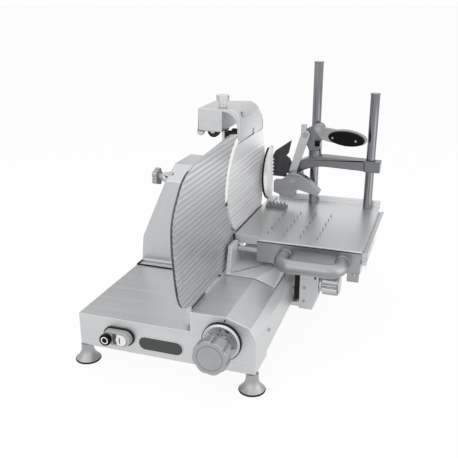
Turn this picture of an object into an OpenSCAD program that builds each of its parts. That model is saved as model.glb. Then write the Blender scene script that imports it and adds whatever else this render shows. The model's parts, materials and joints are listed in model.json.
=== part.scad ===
// Vertical deli slicer: upright blade, gauge plate in front of it, product carriage on the right.
// X runs to the right from the base's left face, Y to the back from its front face, Z up from the floor.

/* [Base] */
// Width of the base
base_w = 420; // [410:1:440]
// Depth of the base
base_d = 510; // [500:1:550]
// Wall thickness of the base
wall = 4; // [3:0.5:5]
// Height of the deck above the lower edge of the front panel
deck_h = 79; // [77:1:90]
// Width of the raised carriage cover
hump_w = 148; // [142:1:154]
// Height of the carriage cover above the deck
hump_h = 48; // [46:1:56]
// Flat width on top of the carriage cover
hump_flat = 82; // [78:1:90]
// Drop of the cover's long slope
slope_drop = 18; // [12:1:22]
// Height of the short chamfer beside the right wall
edge_drop = 25; // [18:1:28]
// Width of the short chamfer beside the right wall
edge_w = 13; // [8:1:16]
// Rise of the right wall's lower edge, where the carriage arm passes under it
under_gap = 26; // [22:1:30]
// Height of a foot
foot_h = 43; // [38:1:52]
// Width of a foot at the floor
foot_d = 57; // [50:1:60]
// Width of a foot at its neck
neck_d = 28; // [24:1:32]
// Thickness of the rubber pad in a foot
pad_h = 5; // [4:0.5:7]
// Distance of a foot's centre from the base corner
foot_inset = 10; // [8:1:14]

/* [Motor column] */
// Front of the column at the deck
column_y = 325; // [318:1:330]
// Depth of the column
column_d = 180; // [174:1:185]
// Gap between the column and the blade
column_gap = 31; // [27:1:37]
// Wall thickness of the column
column_t = 4; // [3:0.5:5]
// Height of the column's upright left side
shoulder_h = 71; // [60:1:80]
// How far the left side leans in up to the shoulder
shoulder_in = 6; // [0:1:10]
// How far the left side leans in at the top
lean_in = 74; // [64:1:80]
// Height of the column's front face
face_h = 228; // [224:1:236]
// How far the front face leans back
lean_back = 7; // [4:1:10]
// Depth of the sloping band over the front face
band_run = 66; // [56:1:76]
// Rise of the sloping band
band_rise = 31; // [29:1:40]

/* [Blade and drive] */
// Diameter of the blade
blade_d = 250; // [240:1:254]
// Thickness of the blade
blade_t = 3; // [2:0.5:4]
// Distance of the blade's axis from the front of the base
axis_y = 362; // [358:1:368]
// Height of the blade's axis above the carriage cover
axis_rise = 181; // [176:1:184]
// Diameter of the drum behind the blade
drum_d = 132; // [126:1:140]
// Diameter of the blade shaft
shaft_d = 25; // [22:1:28]
// Outer diameter of a ball bearing
bearing_d = 47; // [44:1:50]
// Width of a ball bearing
bearing_w = 12; // [10:1:14]
// Diameter of the pulley on the blade shaft
big_pulley_d = 96; // [84:1:100]
// Diameter of the pulley on the motor
small_pulley_d = 40; // [34:1:46]
// Width of the pulleys
pulley_w = 16; // [14:1:18]
// Thickness of the drive belt
belt_t = 3.5; // [2.5:0.5:4.5]
// Diameter of the motor
motor_d = 120; // [110:1:126]
// Length of the motor
motor_l = 95; // [85:1:105]
// Diameter of the tie rod that holds the blade cover
tie_d = 10; // [8:1:11]
// Diameter of the tie rod's knob
tie_knob_d = 46; // [40:1:50]

/* [Plates] */
// Thickness of the gauge plate
gauge_t = 5; // [4:0.5:6]
// Thickness of the blade cover
cover_t = 7; // [6:0.5:9]
// Height of the ribs on both plates
rib_h = 1; // [0.6:0.1:1.6]
// Spacing of the ribs
rib_pitch = 12; // [10:1:18]
// How far the gauge plate reaches in front of the base
gauge_front = 82; // [76:1:86]
// Gap between the blade's edge and the gauge plate
edge_gap = 3.5; // [2.5:0.5:5]
// Travel of the gauge plate, the thickest slice
slice_max = 15; // [12:1:16]

/* [Controls] */
// Distance of the thickness knob's axis from the right wall
knob_from_right = 75; // [74:1:80]
// Height of the thickness knob's axis above the panel's lower edge
knob_rise = 70; // [66:1:72]
// Diameter of the thickness knob
knob_d = 78; // [70:1:84]
// How far the thickness knob stands out from the panel
knob_out = 76; // [66:1:78]
// Diameter of the graduated dial
dial_d = 85; // [80:1:88]
// Middle of the switch from the left face
switch_x = 101; // [90:1:120]
// Length of the switch housing
switch_l = 68; // [66:1:76]
// Height of the switch housing
switch_h = 34; // [32:1:36]
// Travel of the push buttons
press = 3; // [2:0.5:3.5]

/* [Carriage] */
// Front of the carriage as stored, at the back of its stroke
carriage_y = 256; // [250:1:262]
// Width of the product table
table_w = 313; // [308:1:330]
// Depth of the product table
table_d = 359; // [350:1:375]
// Height of the table above the carriage cover
table_rise = 80; // [78:1:88]
// Thickness of the table plate
table_t = 4; // [3:0.5:5]
// Diameter of the carriage rail
rail_d = 24; // [20:1:26]
// Diameter of the table's feed rods
feed_d = 14; // [12:1:16]
// Diameter of the grip of the carriage handle
grip_d = 33; // [28:1:34]
// Length of the carriage handle
handle_l = 138; // [130:1:150]
// How far the handle stands out from the apron
handle_out = 62; // [54:1:70]
// Diameter of the carriage lock knob
lock_d = 58; // [50:1:62]

/* [Product clamp] */
// Diameter of the clamp posts
post_d = 24; // [20:1:26]
// Height of the left post above the table
left_post_h = 385; // [380:1:400]
// Height of the right post above the table
right_post_h = 310; // [300:1:330]
// Distance between the posts
post_gap = 151; // [146:1:156]
// Distance of the left post from the table's left edge
post_x = 128; // [124:1:134]
// Thickness of the cross arm
arm_t = 36; // [34:1:38]
// Height of the cross arm above the table
arm_rise = 108; // [104:1:114]
// Length of the lever's oval grip
lever_grip_l = 96; // [88:1:100]
// Height of the lever's oval grip
lever_grip_h = 38; // [34:1:42]

/* [Sharpener] */
// Width of the sharpener's left block
block_w = 62; // [58:1:66]
// Height of the sharpener's left block
block_h = 55; // [52:1:58]
// Depth of the sharpener's bridge
bridge_d = 119; // [112:1:126]
// Thickness of the sharpener's bridge
bridge_t = 7; // [6:0.5:7]
// Diameter of the grinding wheel
wheel_d = 36; // [32:1:38]
// Diameter of the deburring wheel
hone_d = 30; // [26:1:32]
// Diameter of the sharpener's thumb screw
screw_head_d = 30; // [26:1:34]

/* [Hidden] */
$fn = 64;

// Clearances: turning or sliding fits, seats on one body, and gaps between bodies
fit = 0.06;
seat = 0.05;
gap = 0.3;

// Heights
z_panel = foot_h;
z_deck = z_panel + deck_h;
z_hump = z_deck + hump_h;
z_table = z_hump + table_rise;
axis_z = z_hump + axis_rise;

// Layers across the blade
hump_x = base_w - hump_w;
blade_x = hump_x - 9;
column_w = blade_x - column_gap;
cover_gap = 2;
cover_x = blade_x + blade_t + cover_gap;
face_x = cover_x + cover_t;
table_gap = 3;
table_x = face_x + rib_h + table_gap;

// Carriage
table_r = table_x + table_w;
table_back = carriage_y + table_d;
side_rail_w = 14;
post_inset = 25;
post_y = table_back - post_inset;
left_post_x = table_x + post_x;
right_post_x = left_post_x + post_gap;

// The origin is the middle of the outer box, on the floor
x_low = foot_inset - foot_d / 2;
x_high = table_r + side_rail_w;
centre_x = (x_low + x_high) / 2;
centre_y = (table_back - gauge_front) / 2;

silver = [0.78, 0.79, 0.8];
steel = [0.66, 0.67, 0.69];
pale = [0.86, 0.87, 0.88];
dark = [0.13, 0.13, 0.14];

module place() {
    translate([-centre_x, -centre_y, 0]) children();
}

module box(x0, x1, y0, y1, z0, z1) {
    translate([x0, y0, z0]) cube([x1 - x0, y1 - y0, z1 - z0]);
}

module rod_x(x0, x1, y, z, d) {
    translate([x0, y, z]) rotate([0, 90, 0]) cylinder(d = d, h = x1 - x0);
}

module rod_y(y0, y1, x, z, d) {
    translate([x, y1, z]) rotate([90, 0, 0]) cylinder(d = d, h = y1 - y0);
}

module rod_z(z0, z1, x, y, d) {
    translate([x, y, z0]) cylinder(d = d, h = z1 - z0);
}

// A YZ outline stretched along X
module along_x(x0, x1) {
    translate([x0, 0, 0]) rotate([90, 0, 90]) linear_extrude(x1 - x0) union() children();
}

// An XZ outline stretched along Y
module along_y(y0, y1) {
    translate([0, y1, 0]) rotate([90, 0, 0]) linear_extrude(y1 - y0) union() children();
}

// Outline of a hand knob with round lobes
module lobed(d, lobes, lobe_d) {
    circle(d = d - lobe_d * 0.55);
    for (i = [0 : lobes - 1])
        rotate(i * 360 / lobes) translate([(d - lobe_d) / 2, 0]) circle(d = lobe_d, $fn = 32);
}

// Two round ends joined by a straight bar
module link(a, b, ra, rb) {
    span = norm(b - a);
    turn = atan2(b[1] - a[1], b[0] - a[0]);
    spread = acos((ra - rb) / span);
    translate(a) circle(ra);
    translate(b) circle(rb);
    polygon([
        a + ra * [cos(turn + spread), sin(turn + spread)],
        a + ra * [cos(turn - spread), sin(turn - spread)],
        b + rb * [cos(turn - spread), sin(turn - spread)],
        b + rb * [cos(turn + spread), sin(turn + spread)]
    ]);
}

// A smooth run through the inner points of a list, n steps to a span
function through(p, n) = [for (i = [1 : len(p) - 3], j = [0 : n - 1]) let (t = j / n)
    0.5 * (2 * p[i] + t * (p[i + 1] - p[i - 1])
        + t * t * (2 * p[i - 1] - 5 * p[i] + 4 * p[i + 1] - p[i + 2])
        + t * t * t * (3 * p[i] - p[i - 1] - 3 * p[i + 1] + p[i + 2]))];

// Base

slope_x = hump_x + hump_flat;

// Front outline of the base; in is the inset of the inner side
module base_outline(in, floor) {
    polygon([
        [in, floor],
        [in, z_deck - in],
        [hump_x + in, z_deck - in],
        [hump_x + in, z_hump - in],
        [slope_x - in * 0.2, z_hump - in],
        [base_w - edge_w - in * 0.6, z_hump - slope_drop - in * 0.9],
        [base_w - in, z_hump - slope_drop - edge_drop - in * 0.3],
        [base_w - in, floor]
    ]);
}

under_start = 88;
under_low = 11;
knob_x = base_w - knob_from_right;
knob_z = z_panel + knob_rise;
cam_shaft_d = 12;
switch_z = z_panel + 39;
stem_d = 8;
stop_x = switch_x - 21;
start_x = switch_x + 14;
gauge_rod_d = 18;
gauge_rod_ys = [35, 85];
gauge_rod_z = z_deck + hump_h / 2;
bush_d = gauge_rod_d + 8;
gland_x = 60;
gland_z = z_panel + 36;
gland_d = 16;
motor_y = axis_y + 63;
motor_z = z_deck + 86;
wiring_d = 24;

module base_housing() color(silver) place() difference() {
    along_y(0, base_d) base_outline(0, z_panel);
    along_y(wall, base_d - wall) base_outline(wall, z_panel - 1);
    along_x(base_w - wall - 1, base_w + 1) polygon([
        [under_start, z_panel - 1],
        [under_start, z_panel + under_low],
        [block_y + 20, z_panel + under_gap],
        [base_d - 40, z_panel + under_gap],
        [base_d - 40, z_panel - 1]
    ]);
    rod_y(-1, wall + 1, knob_x, knob_z, cam_shaft_d + 2 * fit);
    for (x = [stop_x, start_x]) rod_y(-1, wall + 1, x, switch_z, stem_d + 2);
    for (y = gauge_rod_ys) rod_x(hump_x - 1, hump_x + wall + 1, y, gauge_rod_z, bush_d + 2 * seat);
    rod_y(base_d - wall - 1, base_d + 1, gland_x, gland_z, gland_d + 2 * seat);
    rod_z(z_deck - wall - 1, z_deck + 1, column_w / 2 - 70, motor_y - 70, wiring_d);
}

cover_sheet = 2;
module base_cover() color(steel) place() difference() {
    box(wall + gap, hump_x + wall, wall + gap, base_d - wall - gap, z_panel, z_panel + cover_sheet);
    for (x = [60 : 18 : 168]) box(x, x + 6, 240, 300, z_panel - 1, z_panel + cover_sheet + 1);
}

module at_feet() {
    for (x = [foot_inset, base_w - foot_inset], y = [foot_inset, base_d - foot_inset])
        translate([x, y, 0]) children();
}

// Bell foot: a flared skirt that sweeps up into a straight neck
flare_h = foot_h - 10;
function flare(t) = [
    neck_d / 2 + (foot_d - neck_d) / 2 * pow(1 - t, 2.2),
    pad_h + (flare_h - pad_h) * t
];
module foot_bells() color(silver) place() at_feet() rotate_extrude() polygon(concat(
    [[0, pad_h], [foot_d / 2 - 1.5, pad_h]],
    [for (i = [0 : 8]) flare(i / 8)],
    [[neck_d / 2, foot_h], [0, foot_h]]
));

module foot_pads() color(dark) place() at_feet() cylinder(d1 = foot_d - 3, d2 = foot_d - 1, h = pad_h);

// Motor column

face_y = column_y + lean_back;
band_y = face_y + band_run;
roof_z = z_deck + face_h + band_rise;
column_back = column_y + column_d;
drum_x0 = column_w - 54;
drum_x1 = blade_x - 13;
boss_x = lean_in - 17;
boss_d = 26;

// Side outline of the column
module column_side(in) {
    polygon([
        [column_y + in, z_deck - (in > 0 ? 1 : 0)],
        [face_y + in, z_deck + face_h - in * 0.3],
        [band_y + in * 0.2, roof_z - in],
        [column_back - in, roof_z - in],
        [column_back - in, z_deck - (in > 0 ? 1 : 0)]
    ]);
}

// Front outline of the column
module column_front(in) {
    polygon([
        [in, z_deck - 2],
        [shoulder_in + in, z_deck + shoulder_h - in * 0.2],
        [lean_in + in, z_deck + face_h - in * 0.2],
        [lean_in + in, roof_z + 2],
        [column_w - in, roof_z + 2],
        [column_w - in, z_deck - 2]
    ]);
}

module column_shape(in) {
    intersection() {
        along_x(0, base_w) column_side(in);
        along_y(column_y - 1, column_back + 1) column_front(in);
    }
}

plinth_h = 6;
plinth_out = 3;
hub_d = 68;
module motor_column() color(silver) place() difference() {
    union() {
        column_shape(0);
        rod_x(drum_x0, drum_x1, axis_y, axis_z, drum_d);
        rod_x(boss_x, lean_in + column_t + 6, axis_y, axis_z, boss_d);
        box(0, column_w, column_y - plinth_out, column_back, z_deck, z_deck + plinth_h);
    }
    difference() {
        column_shape(column_t);
        rod_x(0, lean_in + column_t + 6, axis_y, axis_z, boss_d);
    }
    rod_x(drum_x0 + column_t, drum_x1 - column_t, axis_y, axis_z, drum_d - 2 * column_t);
    rod_x(drum_x1 - column_t - 1, drum_x1 + 1, axis_y, axis_z, hub_d + 2 * seat);
    rod_x(boss_x - 1, lean_in + column_t + 8, axis_y, axis_z, tie_d + 2 * fit);
}

// Blade drive

hub_x0 = drum_x1 - 44;
hub_flange_d = 90;
hub_flange_t = 4;
bearing_x = [hub_x0 + 4, drum_x1 + hub_flange_t - bearing_w - 2];
module bearing_hub() color(steel) place() difference() {
    union() {
        rod_x(hub_x0, drum_x1 + hub_flange_t, axis_y, axis_z, hub_d);
        rod_x(drum_x1, drum_x1 + hub_flange_t, axis_y, axis_z, hub_flange_d);
    }
    rod_x(hub_x0 - 1, drum_x1 + hub_flange_t + 1, axis_y, axis_z, bearing_d - 7);
    rod_x(hub_x0 - 1, bearing_x[0] + bearing_w, axis_y, axis_z, bearing_d + 2 * seat);
    rod_x(bearing_x[1], drum_x1 + hub_flange_t + 1, axis_y, axis_z, bearing_d + 2 * seat);
}

module blade_bearings() color(steel) place() for (x = bearing_x) difference() {
    rod_x(x, x + bearing_w, axis_y, axis_z, bearing_d);
    rod_x(x - 1, x + bearing_w + 1, axis_y, axis_z, shaft_d + 2 * fit);
}

pulley_x = drum_x0 + column_t + 5;
motor_end = pulley_x - 12;
motor_x = motor_end - motor_l;
motor_foot_w = 80;
module motor() color(steel) place() difference() {
    union() {
        rod_x(motor_x, motor_end, motor_y, motor_z, motor_d - 6);
        for (i = [0 : 5])
            rod_x(motor_x + 12 + i * 12, motor_x + 17 + i * 12, motor_y, motor_z, motor_d);
        box(motor_x + 20, motor_end - 20, motor_y - motor_foot_w / 2, motor_y + motor_foot_w / 2,
            z_deck, motor_z - motor_d / 4);
    }
    rod_x(motor_end - 40, motor_end + 1, motor_y, motor_z, 14 + 2 * fit);
}

module motor_shaft() color(steel) place()
    rod_x(motor_end - 36, pulley_x + pulley_w, motor_y, motor_z, 14);

module pulley(y, z, d, bore) {
    difference() {
        union() {
            rod_x(pulley_x, pulley_x + pulley_w, y, z, d);
            for (x = [pulley_x, pulley_x + pulley_w - 1.5]) rod_x(x, x + 1.5, y, z, d + 5);
        }
        rod_x(pulley_x - 1, pulley_x + pulley_w + 1, y, z, bore + 2 * seat);
    }
}

module motor_pulley() color(steel) place() pulley(motor_y, motor_z, small_pulley_d, 14);

module blade_pulley() color(steel) place() pulley(axis_y, axis_z, big_pulley_d, shaft_d);

module drive_belt() color(dark) place() along_x(pulley_x + 2.5, pulley_x + pulley_w - 2.5) difference() {
    big = big_pulley_d / 2 + gap;
    small = small_pulley_d / 2 + gap;
    link([axis_y, axis_z], [motor_y, motor_z], big + belt_t, small + belt_t);
    link([axis_y, axis_z], [motor_y, motor_z], big, small);
}

blade_flange_d = 84;
blade_flange_t = 6;
spigot_d = 40;
shaft_bore_d = tie_d + 2;
module blade_shaft() color(steel) place() difference() {
    union() {
        rod_x(pulley_x - 2, blade_x, axis_y, axis_z, shaft_d);
        rod_x(blade_x - blade_flange_t, blade_x, axis_y, axis_z, blade_flange_d);
        rod_x(blade_x, blade_x + blade_t, axis_y, axis_z, spigot_d);
    }
    rod_x(pulley_x - 3, blade_x + blade_t + 1, axis_y, axis_z, shaft_bore_d);
}

bevel_w = 10;
module blade() color(pale) place() translate([blade_x, axis_y, axis_z]) rotate([0, 90, 0])
    rotate_extrude($fn = 128) polygon([
        [spigot_d / 2 + seat, 0],
        [blade_d / 2 - bevel_w, 0],
        [blade_d / 2, blade_t - 0.4],
        [blade_d / 2, blade_t],
        [spigot_d / 2 + seat, blade_t]
    ]);

// Rim and web behind the rear of the blade
guard_gap = 3.5;
guard_t = 5;
guard_start = axis_y + 48;
module rear_of_blade() {
    translate([guard_start, axis_z - blade_d]) square([blade_d, 2 * blade_d]);
}

module blade_guard() color(silver) place() {
    rim = blade_d / 2 + guard_gap + guard_t;
    along_x(drum_x1, drum_x1 + hub_flange_t) difference() {
        intersection() {
            translate([axis_y, axis_z]) circle(rim);
            rear_of_blade();
        }
        translate([axis_y, axis_z]) circle(hub_flange_d / 2 + 1);
    }
    along_x(drum_x1 + hub_flange_t, cover_x) intersection() {
        translate([axis_y, axis_z]) difference() {
            circle(rim);
            circle(rim - guard_t);
        }
        rear_of_blade();
    }
}

// Ribbed plates

module ribs(x, y0, y1, z0, z1) {
    for (z = [z0 : rib_pitch : z1]) box(x, x + rib_h, y0, y1, z, z + rib_pitch / 2);
}

cover_r = blade_d / 2 - 6;
cover_back = axis_y + 190;
cover_seam = 112;
module cover_outline() {
    translate([axis_y, axis_z]) {
        difference() {
            union() {
                circle(cover_r);
                polygon([[0, 119], [158, 119], [184, 64], [190, 30], [182, -20], [162, -113],
                    [40, -133], [0, -119]]);
            }
            translate([-cover_r, cover_seam]) square(3 * cover_r);
        }
    }
}

module blade_cover() color(silver) place() difference() {
    union() {
        along_x(cover_x, face_x) cover_outline();
        intersection() {
            along_x(face_x, face_x + rib_h) cover_outline();
            ribs(face_x, axis_y - cover_r, cover_back, axis_z - 140, axis_z + 66);
        }
    }
    rod_x(cover_x - 1, face_x - 1.5, axis_y, axis_z, tie_d + 2 * fit);
}

module tie_rod() color(silver) place() union() {
    rod_x(boss_x - 20, face_x - 2, axis_y, axis_z, tie_d);
    rod_x(boss_x - 13, boss_x - gap, axis_y, axis_z, 20);
    along_x(boss_x - 26, boss_x - 12) translate([axis_y, axis_z]) lobed(tie_knob_d, 5, 16);
}

// Gauge plate outline in Y and Z, cut by the circle of the blade
gauge_top = axis_z + 119;
gauge_low = z_hump + 10;
gauge_rise = 26;
gauge_bow = [
    [180, gauge_top + 23],
    [90, gauge_top + 16],
    [-8, gauge_top],
    [26 - gauge_front, axis_z + 78],
    [4 - gauge_front, axis_z + 42],
    [-gauge_front, axis_z - 2],
    [4 - gauge_front, axis_z - 40],
    [22 - gauge_front, gauge_low + 45],
    [64 - gauge_front, gauge_low + 8],
    [axis_y - 250, gauge_low - 12]
];
module gauge_outline() {
    difference() {
        polygon(concat(through(gauge_bow, 5), [
            [64 - gauge_front, gauge_low + 8],
            [10, gauge_low],
            [axis_y - 146, gauge_low],
            [axis_y - 56, gauge_low + 60],
            [axis_y - 56, gauge_top + gauge_rise - 6],
            [axis_y - 90, gauge_top + gauge_rise]
        ]));
        translate([axis_y, axis_z]) circle(blade_d / 2 + edge_gap, $fn = 128);
    }
}

module gauge_plate() color(silver) place() {
    along_x(face_x - gauge_t, face_x) gauge_outline();
    intersection() {
        along_x(face_x, face_x + rib_h) gauge_outline();
        ribs(face_x, -gauge_front, axis_y, gauge_low + 6, gauge_top + gauge_rise);
    }
}

carrier_t = 16;
carrier_x1 = face_x - gauge_t;
carrier_x0 = carrier_x1 - carrier_t;
carrier_y0 = gauge_rod_ys[0] - 18;
carrier_y1 = gauge_rod_ys[1] + 18;
module gauge_carrier() color(steel) place() difference() {
    along_x(carrier_x0, carrier_x1) polygon([
        [carrier_y0, z_deck + 8],
        [carrier_y1, z_deck + 8],
        [carrier_y1, gauge_low + 20],
        [carrier_y1 - 20, gauge_low + 110],
        [carrier_y0 + 20, gauge_low + 110],
        [carrier_y0, gauge_low + 20]
    ]);
    for (y = gauge_rod_ys)
        rod_x(carrier_x0 + 4, carrier_x1 + 1, y, gauge_rod_z, gauge_rod_d + 2 * seat);
}

follower_x = knob_x - 17;
module gauge_rods() color(steel) place() for (y = gauge_rod_ys)
    rod_x(carrier_x0 + 4.5, follower_x, y, gauge_rod_z, gauge_rod_d);

bush_l = 30;
module gauge_bushes() color([0.72, 0.6, 0.36]) place() for (y = gauge_rod_ys) difference() {
    union() {
        rod_x(hump_x - 1, hump_x + bush_l, y, gauge_rod_z, bush_d);
        rod_x(hump_x + wall, hump_x + wall + 4, y, gauge_rod_z, bush_d + 10);
    }
    rod_x(hump_x - 3, hump_x + bush_l + 1, y, gauge_rod_z, gauge_rod_d + 2 * fit);
}

// Scroll cam: the pin of the follower runs in a spiral groove behind the disc
cam_y = 55;
cam_t = 10;
cam_r = 30;
groove_depth = 6;
pin_d = 5;
pin_r = 10;
cam_turn = 300;
function scroll(a, side) = let (r = pin_r + slice_max * a / cam_turn + side)
    [r * cos(180 - a), r * sin(180 - a)];

module scroll_cam() color(steel) place() {
    half = pin_d / 2 + gap;
    rod_y(-6, cam_y, knob_x, knob_z, cam_shaft_d);
    translate([knob_x, 0, knob_z]) {
        along_y(cam_y, cam_y + cam_t - groove_depth) circle(cam_r);
        along_y(cam_y + cam_t - groove_depth, cam_y + cam_t) difference() {
            circle(cam_r);
            polygon(concat(
                [for (a = [0 : 6 : cam_turn]) scroll(a, half)],
                [for (a = [cam_turn : -6 : 0]) scroll(a, -half)]
            ));
            for (a = [0, cam_turn]) translate(scroll(a, 0)) circle(half);
        }
    }
}

module gauge_follower() color(steel) place() {
    back = cam_y + cam_t + 2;
    box(follower_x, follower_x + 14, gauge_rod_ys[0] - 5, gauge_rod_ys[1] + 5,
        gauge_rod_z - 1, gauge_rod_z + 9);
    box(follower_x, follower_x + 14, back, back + 6, knob_z - 6, gauge_rod_z);
    rod_y(back - 7, back, knob_x - pin_r, knob_z, pin_d);
}

// Controls

dial_t = 10;
module thickness_dial() color(silver) place() difference() {
    translate([knob_x, 0, knob_z]) rotate([90, 0, 0]) {
        translate([0, 0, gap]) cylinder(d = dial_d, h = dial_t - 3);
        translate([0, 0, gap + dial_t - 3]) cylinder(d1 = dial_d, d2 = dial_d - 8, h = 3);
    }
    rod_y(-dial_t - 2, 1, knob_x, knob_z, cam_shaft_d + 2 * seat);
}

head_t = 30;
module thickness_knob() color(silver) place() translate([knob_x, 0, knob_z]) difference() {
    union() {
        along_y(-knob_out, -knob_out + head_t) rotate(15) lobed(knob_d, 8, 40);
        translate([0, -dial_t - gap, 0]) rotate([90, 0, 0])
            cylinder(d1 = knob_d * 0.62, d2 = knob_d * 0.8, h = knob_out - head_t - dial_t - gap);
        for (i = [0 : 7]) rotate([0, -15 - i * 45, 0])
            rod_y(-knob_out + head_t, -dial_t - 12, knob_d * 0.29, 0, 16);
    }
    rod_y(-40, 0, 0, 0, cam_shaft_d + 2 * seat);
}

housing_out = 18;
stop_d = 27;
neck = 14;
start_h = 25;
module pill(l, h) {
    for (s = [-1, 1]) translate([s * (l - h) / 2, 0]) circle(d = h);
    square([l - h, h], center = true);
}

// The start button: a block with one round side
module start_shape(y0, y1, grow) {
    h = start_h + 2 * grow;
    union() {
        box(switch_x + 4 - grow, switch_x + 14, y0, y1, switch_z - h / 2, switch_z + h / 2);
        rod_y(y0, y1, switch_x + 14, switch_z, h);
    }
}

module switch_housing() color(pale) place() difference() {
    translate([switch_x, 0, switch_z]) {
        along_y(-housing_out, 0) pill(switch_l, switch_h);
        along_y(-5, 0) pill(switch_l + 6, switch_h + 6);
    }
    rod_y(-housing_out - 1, 1, stop_x, switch_z, neck + 2 * gap);
    start_shape(-housing_out - 1, 1, gap);
}

button_back = -6;
module stem(x) {
    rod_y(button_back, wall + 6, x, switch_z, stem_d);
}

module stop_button() color(dark) place() {
    rod_y(-housing_out - press - 10.5, -housing_out - press - 0.5, stop_x, switch_z, stop_d);
    rod_y(-housing_out - press - 0.5, button_back, stop_x, switch_z, neck);
    stem(stop_x);
}

module start_button() color("white") place() {
    start_shape(-housing_out - 4, button_back, 0);
    stem(start_x);
}

module switch_block() color(dark) place() difference() {
    box(switch_x - 32, switch_x + 32, wall, wall + 34, switch_z - 17, switch_z + 17);
    for (x = [stop_x, start_x]) rod_y(wall - 1, wall + 6 + press + 2, x, switch_z, stem_d + 2 * gap);
}

board_z = z_panel + cover_sheet + 8;
module control_board() color([0.1, 0.35, 0.22]) place() {
    box(30, 150, 70, 180, board_z, board_z + 2);
    for (x = [38, 142], y = [78, 172]) rod_z(z_panel + cover_sheet, board_z, x, y, 7);
    box(40, 80, 90, 130, board_z + 2, board_z + 34);
    box(90, 118, 90, 140, board_z + 2, board_z + 22);
    for (x = [96 : 14 : 138]) rod_z(board_z + 2, board_z + 22, x, 158, 11);
}

module cable_gland() color(dark) place() difference() {
    union() {
        rod_y(base_d - wall - 10, base_d + 12, gland_x, gland_z, gland_d);
        translate([gland_x, base_d + 7, gland_z]) rotate([90, 0, 0]) cylinder(d = 26, h = 7, $fn = 6);
        translate([gland_x, base_d - wall, gland_z]) rotate([90, 0, 0]) cylinder(d = 26, h = 6, $fn = 6);
    }
    rod_y(base_d - wall - 11, base_d + 13, gland_x, gland_z, 8);
}

// Carriage

rail_x = hump_x + 28;
rail_z = z_panel + 32;
bracket_l = 16;
module carriage_rail() color(steel) place() rod_y(wall + 2, base_d - wall - 2, rail_x, rail_z, rail_d);

module rail_brackets() color(silver) place() for (y = [wall, base_d - wall - bracket_l]) difference() {
    box(rail_x - 18, rail_x + 18, y, y + bracket_l, rail_z - 18, rail_z + 18);
    rod_y(wall + 1, base_d - wall - 1, rail_x, rail_z, rail_d + 2 * seat);
}

block_x = base_w + 18;
block_x1 = block_x + 48;
block_y = carriage_y + 59;
block_d = 80;
slider_y = block_y - 15;
slider_l = 120;
arm_y0 = block_y + 40;
arm_y1 = arm_y0 + 40;
arm_z0 = z_panel - 3;
arm_z1 = z_panel + under_low - 1.5;
block_low = z_panel + 12;
rail_bush_d = rail_d + 6;
module carriage_arm() color(silver) place() difference() {
    union() {
        box(rail_x - 20, rail_x + 16, slider_y, slider_y + slider_l, arm_z0 + 6, rail_z + 20);
        box(rail_x - 10, block_x1 - 20, arm_y0, arm_y1, arm_z0, arm_z1);
        box(base_w + 5, block_x1 - 20, arm_y0, arm_y1, arm_z0, block_low);
    }
    rod_y(slider_y - 1, slider_y + slider_l + 1, rail_x, rail_z, rail_bush_d + 2 * seat);
}

rail_bush_ys = [slider_y, slider_y + slider_l - 40];
module rail_bushes() color([0.72, 0.6, 0.36]) place() for (y = rail_bush_ys) difference() {
    rod_y(y, y + 40, rail_x, rail_z, rail_bush_d);
    rod_y(y - 1, y + 41, rail_x, rail_z, rail_d + 2 * fit);
}

feed_ys = [carriage_y + 14, carriage_y + 174];
feed_z = z_table - 34;
lock_y = block_y + 20;
lock_z = z_panel + 82;
lock_stud_d = 10;
lip_h = 21;
carrier_top = z_table - lip_h - 1;
module carriage_block() color(silver) place() difference() {
    union() {
        along_y(block_y, block_y + block_d) polygon([
            [block_x, block_low],
            [block_x1 - 14, block_low],
            [block_x1, block_low + 42],
            [block_x1, carrier_top],
            [block_x, carrier_top]
        ]);
        box(block_x, block_x1, feed_ys[0] - 8, feed_ys[1] + 14, feed_z - 19, carrier_top);
    }
    box(block_x1 - 12, block_x1 - 7, block_y - 1, block_y + block_d + 1, lock_z + 14, feed_z - 24);
    for (y = feed_ys) rod_x(block_x - 1, block_x1 + 1, y, feed_z, feed_d + 2 * fit);
    rod_x(block_x1 - 20, block_x1 + 1, lock_y, lock_z, lock_stud_d + 2 * fit);
}

// Saddle over the carriage cover: its lower side follows the cover, its top rises to the back
clear = 1;
saddle_top = z_hump + 21;
saddle_y = carriage_y - 51;
saddle_x = table_x + 2;
saddle_r = base_w - edge_w - 2;
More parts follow.
